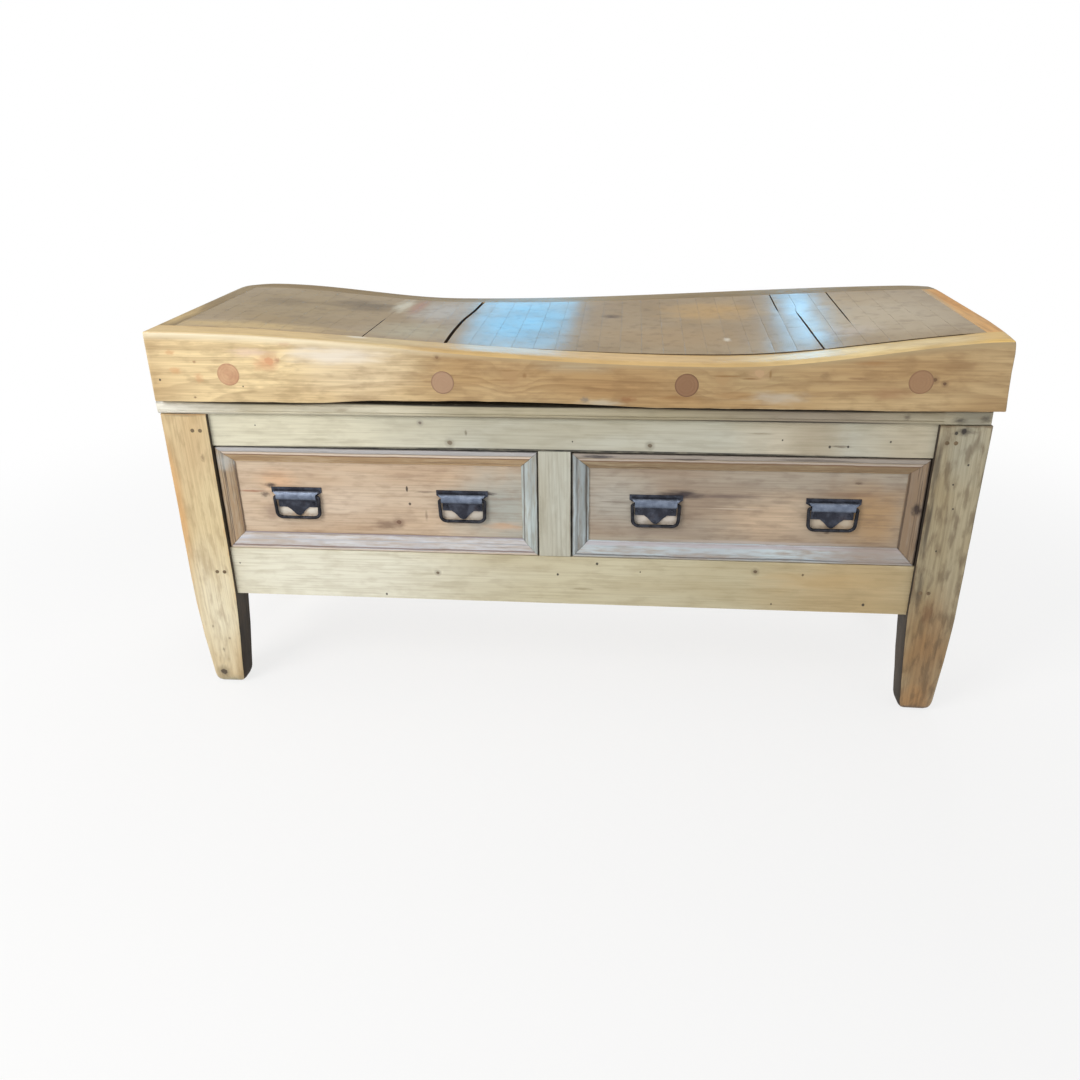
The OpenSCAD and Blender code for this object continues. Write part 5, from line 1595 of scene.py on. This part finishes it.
    def tile_shape(self, first: int, last: int) -> BMesh:
        """Shape a group of tile columns.

        Args:
            first: The first column.
            last: The column after the last one.

        Returns:
            The draped tiles, with a tone and a ring centre on each.
        """
        shape = bmesh.new()
        tone = shape.verts.layers.float.new("tone")
        heart = shape.verts.layers.float_vector.new("heart")
        half = self.glue_gap / 2
        for column in range(first, last):
            left = self.column_edge(column) + half
            right = self.column_edge(column + 1) - half
            for row, (front, back) in enumerate(self.tile_rows(column)):
                rise = self.thickness / 2 + self.tile_lift * (chance(column, row, 5) - 0.5)
                middle = Vector(((left + right) / 2, (front + back) / 2, self.bed + rise))
                size = (right - left, back - front - self.glue_gap, self.thickness)
                matrix = Matrix.Translation(middle) @ Matrix.Diagonal((*size, 1.0))
                made = bmesh.ops.create_cube(shape, size=1.0, matrix=matrix)
                turn = math.tau * chance(column, row, 1)
                reach = self.heart_reach[0] + self.heart_reach[1] * chance(column, row, 2)
                ring = Vector((middle.x + reach * math.cos(turn), middle.y + reach * math.sin(turn), 0.0))
                for vert in made["verts"]:
                    vert[tone] = chance(column, row, 3)
                    vert[heart] = ring
        soften(shape, 0.00025, 1)
        cuts = steps(-self.core_half_depth, self.core_half_depth, self.tile_length / 2)
        slice_at(shape, Axis.Y, cuts)
        pitch = 2 * self.core_half_length / self.columns
        self.drape(shape)
        for vert in shape.verts:
            column = int((vert.co.x - self.column_edge(0)) / pitch)
            share = (vert.co.x - self.column_edge(column)) / pitch
            left = self.joint_shift(column, 1, vert.co.y)
            right = self.joint_shift(column + 1, -1, vert.co.y)
            vert.co.x += left * (1 - share) + right * share
        return shape

    def build_tiles(self, finishes: Finishes) -> None:
        """Make the four groups of end-grain tiles."""
        for number, (node, first, last) in enumerate(self.fields):
            part = Part(f"{node}.tiles", "stand", (node,), "end_grain", Axis.Z, ORIGIN, 10.0 + number)
            shape = self.tile_shape(first, last)
            paint_faces(shape, 1, lambda face: abs(face.normal.z) < 0.3)
            part.finish(shape, [finishes.get(Finishes.TILES), finishes.get(Finishes.JOINT)])

    def plug_shape(self, facing: int) -> BMesh:
        """Shape the four plugs of one long board.

        Args:
            facing: -1 for the front board, 1 for the back one.

        Returns:
            The plugs, each with its ring centre and the strength of its rim.
        """
        shape = bmesh.new()
        tone = shape.verts.layers.float.new("tone")
        heart = shape.verts.layers.float_vector.new("heart")
        rims = (0.15, 0.6, 0.85, 0.5)
        for number, (x, rise) in enumerate(self.plug_places):
            inside = self.half_depth - self.plug_depth / 2
            place = Vector((self.middle_x + x, facing * inside, self.bed + rise))
            matrix = Matrix.Translation(place) @ Matrix.Rotation(math.radians(90), 4, "X")
            made = bmesh.ops.create_cone(shape, cap_ends=True, segments=40, radius1=self.plug_radius,
                                         radius2=self.plug_radius, depth=self.plug_depth, matrix=matrix)
            for vert in made["verts"]:
                vert[tone] = rims[number]
                vert[heart] = place
        soften(shape, 0.0009, 2, sharp=50.0)
        outside = facing * self.half_depth
        caps = [face for face in shape.faces if abs(face.calc_center_median().y - outside) < 0.0001]
        bmesh.ops.inset_individual(shape, faces=caps, thickness=0.006, depth=-0.0002)
        return shape

    def build_plugs(self, finishes: Finishes) -> None:
        """Make the plugs over the ends of the tie rods, and finish the irons under them."""
        for label, facing in (("front", -1), ("back", 1)):
            part = Part(f"{label}_plug_discs", "stand", (f"{label}_plugs",), "plug_wood", Axis.Y, ORIGIN,
                        20.0)
            part.finish(self.plug_shape(facing), [finishes.get(Finishes.PLUG)])
        for node in ("tie_rods", "tie_rod_washers", "tie_rod_nuts"):
            dress_node(node, finishes.get(Finishes.ROD))

    def build(self, finishes: Finishes) -> None:
        """Make the whole block."""
        self.build_boards(finishes)
        self.build_tiles(finishes)
        self.build_plugs(finishes)


# The stand


@dataclass
class Stand:
    """The low pine stand: legs, rails, panels, the platform under the block and the runners."""

    rail_edge: float = 0.0016
    leg_clear: float = 0.232
    leg_edge: float = 0.0035
    nail_proud: float = 0.0003
    foot_edge: float = 0.021
    foot_start: float = 0.45
    taper_outer: float = 0.008
    taper_inner: float = 0.016
    taper_deep: float = 0.005
    quirk_rise: float = 0.0085
    quirk_depth: float = 0.0022
    quirk_half: float = 0.0016
    quirk_end: float = 0.705
    flush: float = 0.0021
    short_end: float = 0.008
    short_reach: float = 0.03
    platform_heart: Triple = (0.0, 0.0, -0.09)

    def leg_shape(self, node: str, side: int, seed: float) -> BMesh:
        """Shape a leg, square and crisp above and tapered to a worn round foot.

        Args:
            node: The leg's CAD node, which gives its size.
            side: -1 on the left, 1 on the right.
            seed: Makes its wear differ from the other legs'.

        Returns:
            The leg.
        """
        low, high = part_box(node)
        low.z = 0.0
        shape = box_shape(low, high)
        middle = (low + high) / 2
        half = (high - low) / 2
        soften(shape, self.foot_edge, 4, where=lambda place: place.z < high.z - 0.001)
        slice_at(shape, Axis.Z, steps(0.025, high.z, 0.025))
        for vert in shape.verts:
            share = max(0.0, (self.leg_clear - vert.co.z) / self.leg_clear)
            rounding = max(0.0, (share - self.foot_start) / (1 - self.foot_start))
            radius = self.leg_edge + (self.foot_edge - self.leg_edge) * rounding
            away = vert.co - middle
            turned = []
            for axis in (0, 1):
                inner = half[axis] - self.foot_edge
                past = max(0.0, abs(away[axis]) - inner)
                reach = min(abs(away[axis]), inner) + past * radius / self.foot_edge
                reach += (self.foot_edge - radius) * min(1.0, past * 1000)
                turned.append(math.copysign(reach, away[axis]))
            outward = side * turned[0] > 0
            turned[0] *= 1 - share * (self.taper_outer if outward else self.taper_inner) / half.x
            turned[1] *= 1 - share * self.taper_deep / half.y
            vert.co.x = middle.x + turned[0]
            vert.co.y = middle.y + turned[1]
        # The inner faces take the second material, which on the front legs is painted shade.
        paint_faces(shape, 1, lambda face: -side * face.normal.x > 0.75)
        weather(shape, 0.0007, 0.05, seed)
        for vert in shape.verts:
            vert.co.z = max(0.0, vert.co.z)
            vert.co.y = min(max(vert.co.y, low.y + self.nail_proud), high.y - self.nail_proud)
        return shape

    def build_legs(self, finishes: Finishes) -> None:
        """Make the four tapered legs."""
        wanted = (("front_left_leg", -1, Finishes.LEG_LEFT, "leg_pine", (0.02, 0.09, 0.0)),
                  ("front_right_leg", 1, Finishes.LEG_RIGHT, "leg_brown", (-0.01, 0.05, 0.0)),
                  ("back_left_leg", -1, Finishes.LEG_BACK, "leg_pine", (0.03, -0.08, 0.0)),
                  ("back_right_leg", 1, Finishes.LEG_BACK, "leg_brown", (-0.02, -0.06, 0.0)))
        for number, (node, side, finish, slot, heart) in enumerate(wanted):
            shape = self.leg_shape(node, side, 30.0 + number)
            part = Part(f"{node}.worn", "stand", (node,), slot, Axis.Z, heart, 30.0 + number)
            # Front legs get the painted-shade inner faces; back legs keep one finish.
            inner = finish if finish is Finishes.LEG_BACK else Finishes.LEG_INNER_SHADE
            part.finish(shape, [finishes.get(finish), finishes.get(inner)])

    def build_frame(self, finishes: Finishes) -> None:
        """Make the rails, the muntin and the panels between the legs."""
        stand = finishes.get(Finishes.STAND)
        panel = finishes.get(Finishes.PANEL)
        front = (("front_top_rail", Finishes.RAIL_TOP, Axis.X),
                 ("front_bottom_rail", Finishes.RAIL_BOTTOM, Axis.X),
                 ("front_muntin", Finishes.MUNTIN, Axis.Z))
        for number, (node, finish, grain) in enumerate(front):
            timber_copy(node, "stand", "stand_pine", finishes.get(finish), grain, 40.0 + number,
                        radius=self.rail_edge, depth=0.0004, heart=(0.0, 0.08, -0.02))
        for number, side in enumerate(("left", "right")):
            turned = (0.1 if side == "left" else -0.1, 0.0, 0.02)
            for row in ("top", "bottom"):
                timber_copy(f"{side}_{row}_rail", "stand", "stand_pine", stand, Axis.Y, 44.0 + number,
                            radius=self.rail_edge, step=0.04, depth=0.0004, heart=turned)
            timber_copy(f"{side}_panel", "stand", "panel_pine", panel, Axis.Y, 46.0 + number,
                        radius=0.001, step=0.04, depth=0.0003, heart=turned)
        for number, row in enumerate(("top", "bottom")):
            timber_copy(f"back_{row}_rail", "stand", "stand_pine", stand, Axis.X, 48.0 + number,
                        radius=self.rail_edge, step=0.04, depth=0.0004, heart=(0.2, -0.08, 0.02))
        timber_copy("back_panel", "stand", "panel_pine", panel, Axis.X, 50.0,
                    radius=0.001, step=0.05, depth=0.0003, heart=(0.2, -0.09, 0.04))

    def build_platform(self, finishes: Finishes) -> None:
        """Make the boards that carry the block and the bearers under them."""
        strip = finishes.get(Finishes.STRIP)
        inner = finishes.get(Finishes.INNER)
        shape = cad_shape("platform_front")
        low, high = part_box("platform_front")
        slice_at(shape, Axis.X, [*steps(low.x, high.x, 0.03), self.quirk_end])
        groove = low.z + self.quirk_rise
        slice_at(shape, Axis.Z, [groove - self.quirk_half, groove, groove + self.quirk_half])
        for vert in shape.verts:
            if vert.co.x > self.quirk_end and vert.co.y < low.y + 0.003:
                vert.co.y = low.y + self.flush
            vert.co.x -= self.short_end * max(0.0, 1 - (high.x - vert.co.x) / self.short_reach)
            if abs(vert.co.z - groove) < 0.0001 and vert.co.y < low.y + 0.002 and vert.co.x < self.quirk_end:
                vert.co.y += self.quirk_depth
        weather(shape, 0.0004, 0.05, 52.0)
        part = Part("platform_front.worn", "stand", ("platform_front",), "stand_pine", Axis.X,
                    self.platform_heart, 52.0)
        part.finish(shape, [strip])
        timber_copy("platform_middle", "stand", "inner_pine", inner, Axis.X, 53.0,
                    radius=0.001, step=0.08, depth=0.0002, heart=self.platform_heart)
        timber_copy("platform_back", "stand", "stand_pine", finishes.get(Finishes.STAND), Axis.X, 54.0,
                    radius=0.001, step=0.04, depth=0.0003, heart=self.platform_heart)
        for number, node in enumerate(("left_runner", "centre_runner", "right_runner",
                                       "drawer_guides", "cross_bearers")):
            timber_copy(node, "stand", "inner_pine", inner, Axis.Y, 56.0 + number,
                        radius=0.001, step=0.08, depth=0.0002)
        dress_node("tenon_nails", finishes.get(Finishes.NAIL))

    def build(self, finishes: Finishes) -> None:
        """Make the whole stand."""
        self.build_legs(finishes)
        self.build_frame(finishes)
        self.build_platform(finishes)


# The drawers


class Member(Enum):
    """The four mitred lengths of a drawer's moulding."""

    LEFT = "left"
    TOP = "top"
    RIGHT = "right"
    BOTTOM = "bottom"


@dataclass
class Drawer:
    """A dovetailed drawer with a planted moulding round its recessed front."""

    side: str
    face: PineFinish
    seed: float
    moulding_width: float = 0.033

    @property
    def body(self) -> str:
        """The body the drawer rides on."""
        return f"{self.side}_drawer"

    def build_box(self, finishes: Finishes) -> None:
        """Make the front, sides, back and bottom."""
        timber_copy(f"{self.body}_front", self.body, "drawer_front_pine", finishes.get(self.face), Axis.X,
                    self.seed, radius=0.001, heart=(0.1, 0.06, 0.045))
        box = finishes.get(Finishes.BOX)
        wanted = (("left_side", Axis.Y, (0.07, 0.0, 0.03)), ("right_side", Axis.Y, (0.07, 0.0, 0.03)),
                  ("back", Axis.X, (0.0, -0.07, 0.03)), ("bottom", Axis.X, (0.0, 0.03, 0.09)))
        for number, (name, grain, heart) in enumerate(wanted):
            timber_copy(f"{self.body}_{name}", self.body, "drawer_box_pine", box, grain,
                        self.seed + 1 + number, radius=0.0005, step=0.05, depth=0.0001, heart=heart)

    @staticmethod
    def reach_in(place: Vector, low: Vector, high: Vector) -> dict[Member, float]:
        """Measure how far a point lies in from the outer edge of each length of moulding."""
        return {Member.LEFT: place.x - low.x, Member.RIGHT: high.x - place.x,
                Member.BOTTOM: place.z - low.z, Member.TOP: high.z - place.z}

    def build_moulding(self, finishes: Finishes) -> None:
        """Make the four lengths of moulding, each with its own old paint and grain."""
        node = f"{self.body}_moulding"
        low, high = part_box(node)
        shape = cad_shape(node)
        soften(shape, 0.0007, 2, sharp=40.0)
        slice_at(shape, Axis.X, steps(low.x, high.x, 0.012))
        slice_at(shape, Axis.Z, steps(low.z, high.z, 0.012))
        grain = shape.verts.layers.float_vector.new("grain")
        across = shape.verts.layers.float.new("across")
        members = list(Member)
        for part in islands(shape):
            middle = sum((vert.co for vert in part), Vector()) / len(part)
            reach = self.reach_in(middle, low, high)
            member = min(reach, key=lambda side: reach[side])
            upright = member in (Member.LEFT, Member.RIGHT)
            offset = Vector((self.seed + members.index(member), 0.0, 0.0))
            for vert in part:
                place = vert.co - middle
                vert[grain] = offset + (place.zxy if upright else place)
                vert[across] = self.reach_in(vert.co, low, high)[member] / self.moulding_width
                for face in vert.link_faces:
                    face.material_index = members.index(member)
        weather(shape, 0.0005, 0.014, self.seed)
        part = Part(f"{node}.worn", self.body, (node,), "moulding_paint", Axis.X, ORIGIN, self.seed)
        paints = [Finishes.PAINT[f"{self.body}_{member.value}"] for member in members]
        part.finish(shape, [finishes.get(paint) for paint in paints])

    def build(self, finishes: Finishes) -> None:
        """Make the drawer and finish its screws."""
        self.build_box(finishes)
        self.build_moulding(finishes)
        dress_node(f"{self.body}_screws", finishes.get(Finishes.HANDLE))


@dataclass
class Handle:
    """An iron plate with a rolled barrel, and the bail that swings in it."""

    number: int
    side: str
    taper: float = 0.06
    bail_swell: float = 0.0006
    swell_start: float = 0.2
    axis_drop: float = 0.019
    barrel_radius: float = 0.007
    barrel_rise: float = 0.0052
    tip_start: float = 0.044
    tip_drop: float = 0.002
    bail_lift: float = 0.0035
    lift_start: float = 0.25
    bar_ease: float = 0.0003

    def plate_shape(self, node: str) -> BMesh:
        """Shape the plate with its full barrel and long tip.

        Args:
            node: The plate's CAD node.

        Returns:
            The plate, whose barrel has the second material, a lighter iron that paints a highlight on it.
        """
        shape = cad_shape(node)
        soften(shape, 0.0004, 2, sharp=35.0)
        low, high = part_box(node)
        axis = Vector((0.0, low.y + self.barrel_radius, high.z - self.axis_drop))
        for vert in shape.verts:
            away = Vector((0.0, vert.co.y - axis.y, vert.co.z - axis.z))
            if away.length < self.barrel_radius * 1.06 and away.z > 0:
                vert.co.z += self.barrel_rise * away.z / self.barrel_radius
            elif high.z - vert.co.z > self.tip_start:
                vert.co.z -= self.tip_drop
        top = axis.z + self.barrel_radius + self.barrel_rise
        bottom = axis.z - self.barrel_radius * 0.9
        # The barrel's faces take the lighter iron, a painted highlight.
        paint_faces(shape, 1, lambda face: bottom <= face.calc_center_median().z <= top
                    and face.calc_center_median().y < high.y - 0.0035)
        return shape

    def bail_shape(self, node: str) -> BMesh:
        """Shape the bail, a little thicker and drawn in towards its grip.

        Args:
            node: The bail's CAD node.

        Returns:
            The bail.
        """
        shape = cad_shape(node)
        shape.normal_update()
        low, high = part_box(node)
        middle = (low.x + high.x) / 2
        bar = (high.y - low.y) / 2
        for vert in shape.verts:
            away = Vector((0.0, vert.co.y - low.y - bar, vert.co.z - high.z + bar))
            if away.length < bar * 1.2:
                vert.co -= away.normalized() * self.bar_ease
            down = (high.z - vert.co.z) / (high.z - low.z)
            grown = min(1.0, max(0.0, (down - self.swell_start) / self.swell_start))
            swollen = vert.normal * self.bail_swell * grown
            vert.co.x = middle + (vert.co.x - middle) * (1 - self.taper * down ** 1.2) + swollen.x
            lifted = min(1.0, max(0.0, (down - self.lift_start) / (1 - self.lift_start)))
            vert.co.z += max(0.0, swollen.z) + self.bail_lift * lifted
        weather(shape, 0.0002, 0.01, 80.0 + self.number)
        return shape

    def build(self, finishes: Finishes) -> None:
        """Make the plate on its drawer and the bail on its own body."""
        plate = f"handle_plate_{self.number}"
        part = Part(f"{plate}.forged", f"{self.side}_drawer", (plate,), "handle_iron", Axis.X, ORIGIN,
                    70.0 + self.number)
        part.finish(self.plate_shape(plate), [finishes.get(Finishes.HANDLE), finishes.get(Finishes.BARREL_HIGHLIGHT)])
        bail = f"handle_bail_{self.number}"
        part = Part(f"{bail}.forged", f"bail_{self.number}", (bail,), "handle_iron", Axis.X, ORIGIN,
                    80.0 + self.number, sharp=60.0)
        part.finish(self.bail_shape(bail), [finishes.get(Finishes.BAIL)])


# The studio


class Reach(Enum):
    """What a lamp acts on: everything, only the plain light or only the gloss."""

    ALL = "all"
    PLAIN = "plain"
    GLOSS = "gloss"


@dataclass(frozen=True)
class Lamp:
    """A rectangular soft light."""

    name: str
    place: Triple
    target: Triple
    size: Span
    power: float
    tint: Triple = (1.0, 1.0, 1.0)
    reach: Reach = Reach.ALL

    def build(self) -> None:
        """Hang the light."""
        data = bpy.data.lights.new(self.name, "AREA")
        data.shape = "RECTANGLE"
        data.size, data.size_y = self.size
        data.energy = self.power
        data.color = self.tint
        lamp = put_in_scene(self.name, data)
        lamp.location = self.place
        lamp.rotation_euler = (Vector(self.target) - Vector(self.place)).to_track_quat("-Z", "Y").to_euler()
        lamp.visible_camera = False
        lamp.visible_diffuse = self.reach is not Reach.GLOSS
        lamp.visible_glossy = self.reach is not Reach.PLAIN


@dataclass
class Studio:
    """The pale floor, the soft light and the camera at the photograph's angle."""

    sky: float = 0.44
    far_wall: float = 0.3
    wall_edge: float = 0.45
    camera_place: Triple = (0.12263, -1.96107, 1.17023)
    yaw: float = -5.62
    pitch: float = 24.7
    roll: float = 0.83
    lens: float = 30.9
    lamps: tuple[Lamp, ...] = (
        Lamp("key", (-2.1, -2.3, 2.4), (-0.2, 0.0, 0.5), (1.6, 1.6), 72.0, (1.0, 0.985, 0.96)),
        Lamp("fill", (2.8, -3.0, 2.2), (0.2, 0.0, 0.4), (2.6, 2.6), 12.0),
        Lamp("back", (0.3, 2.6, 2.9), (0.1, 0.0, 0.6), (2.2, 2.2), 40.0, reach=Reach.PLAIN),
        Lamp("near_window", (-0.424, 3.0, 1.505), (-0.1, 0.0, 0.78), (0.5, 0.42), 2.5, (0.02, 0.54, 1.0),
             Reach.GLOSS),
        Lamp("far_window", (0.898, 3.0, 1.829), (0.5, 0.0, 0.78), (0.17, 0.38), 1.5, (0.12, 0.58, 1.0),
             Reach.GLOSS),
    )

    def build_floor(self) -> None:
        """Lay the floor."""
        shape = bmesh.new()
        bmesh.ops.create_grid(shape, x_segments=8, y_segments=8, size=20.0)
        mesh = bpy.data.meshes.new("floor")
        shape.to_mesh(mesh)
        shape.free()
        mesh.materials.append(FloorFinish().dress())
        floor = put_in_scene("floor", mesh)

    def build_sky(self) -> None:
        """Light the room evenly, white to the camera and to a gloss, which sees a dim far wall."""
        world = bpy.data.worlds.new("plain_room")
        bpy.context.scene.world = world
        world.use_nodes = True
        graph = Graph(world.node_tree)
        background = world.node_tree.nodes["Background"]
        background.inputs["Color"].default_value = (1.0, 1.0, 1.0, 1.0)
        path = graph.node("ShaderNodeLightPath").outputs
        view = graph.parts(graph.node("ShaderNodeTexCoord").outputs["Generated"])["Y"]
        wall = graph.spread(graph.between(view, -self.wall_edge, self.wall_edge), 1.0, self.far_wall)
        seen = graph.maths("MAXIMUM", path["Is Camera Ray"], graph.times(wall, path["Is Glossy Ray"]))
        graph.feed(background.inputs["Strength"], graph.maths("MAXIMUM", seen, self.sky))

    def build_camera(self) -> None:
        """Stand the camera where the photograph was taken from."""
        yaw, pitch, roll = (math.radians(angle) for angle in (self.yaw, self.pitch, self.roll))
        forward = Vector((math.sin(yaw) * math.cos(pitch), math.cos(yaw) * math.cos(pitch), -math.sin(pitch)))
        right = Vector((math.cos(yaw), -math.sin(yaw), 0.0))
        down = forward.cross(right)
        across = right * math.cos(roll) + down * math.sin(roll)
        below = down * math.cos(roll) - right * math.sin(roll)
        data = bpy.data.cameras.new("camera")
        data.lens = self.lens
        data.sensor_width = 36.0
        camera = put_in_scene("camera", data)
        turn = Matrix((across, -below, -forward)).transposed().to_4x4()
        camera.matrix_world = Matrix.Translation(self.camera_place) @ turn
        bpy.context.scene.camera = camera

    def build(self) -> None:
        """Set up the whole studio."""
        bpy.context.scene.view_settings.view_transform = "Standard"
        self.build_floor()
        self.build_sky()
        for lamp in self.lamps:
            lamp.build()
        self.build_camera()


def write_sizes() -> None:
    """Bring the view layer up to date at the end of the build."""
    bpy.context.view_layer.update()


def main() -> None:
    """Build every sub-assembly in order."""
    logging.basicConfig(level=logging.INFO, format="%(name)s %(message)s")
    noise.seed_set(WEAR_SEED)
    Studio().build()
    finishes = Finishes(Effects())
    WornBlock().build(finishes)
    Stand().build(finishes)
    for drawer in (Drawer("left", Finishes.FRONT_LEFT, 60.0), Drawer("right", Finishes.FRONT_RIGHT, 65.0)):
        drawer.build(finishes)
    for number, side in ((1, "left"), (2, "left"), (3, "right"), (4, "right")):
        Handle(number, side).build(finishes)
    write_sizes()


if __name__ == "__main__":
    main()
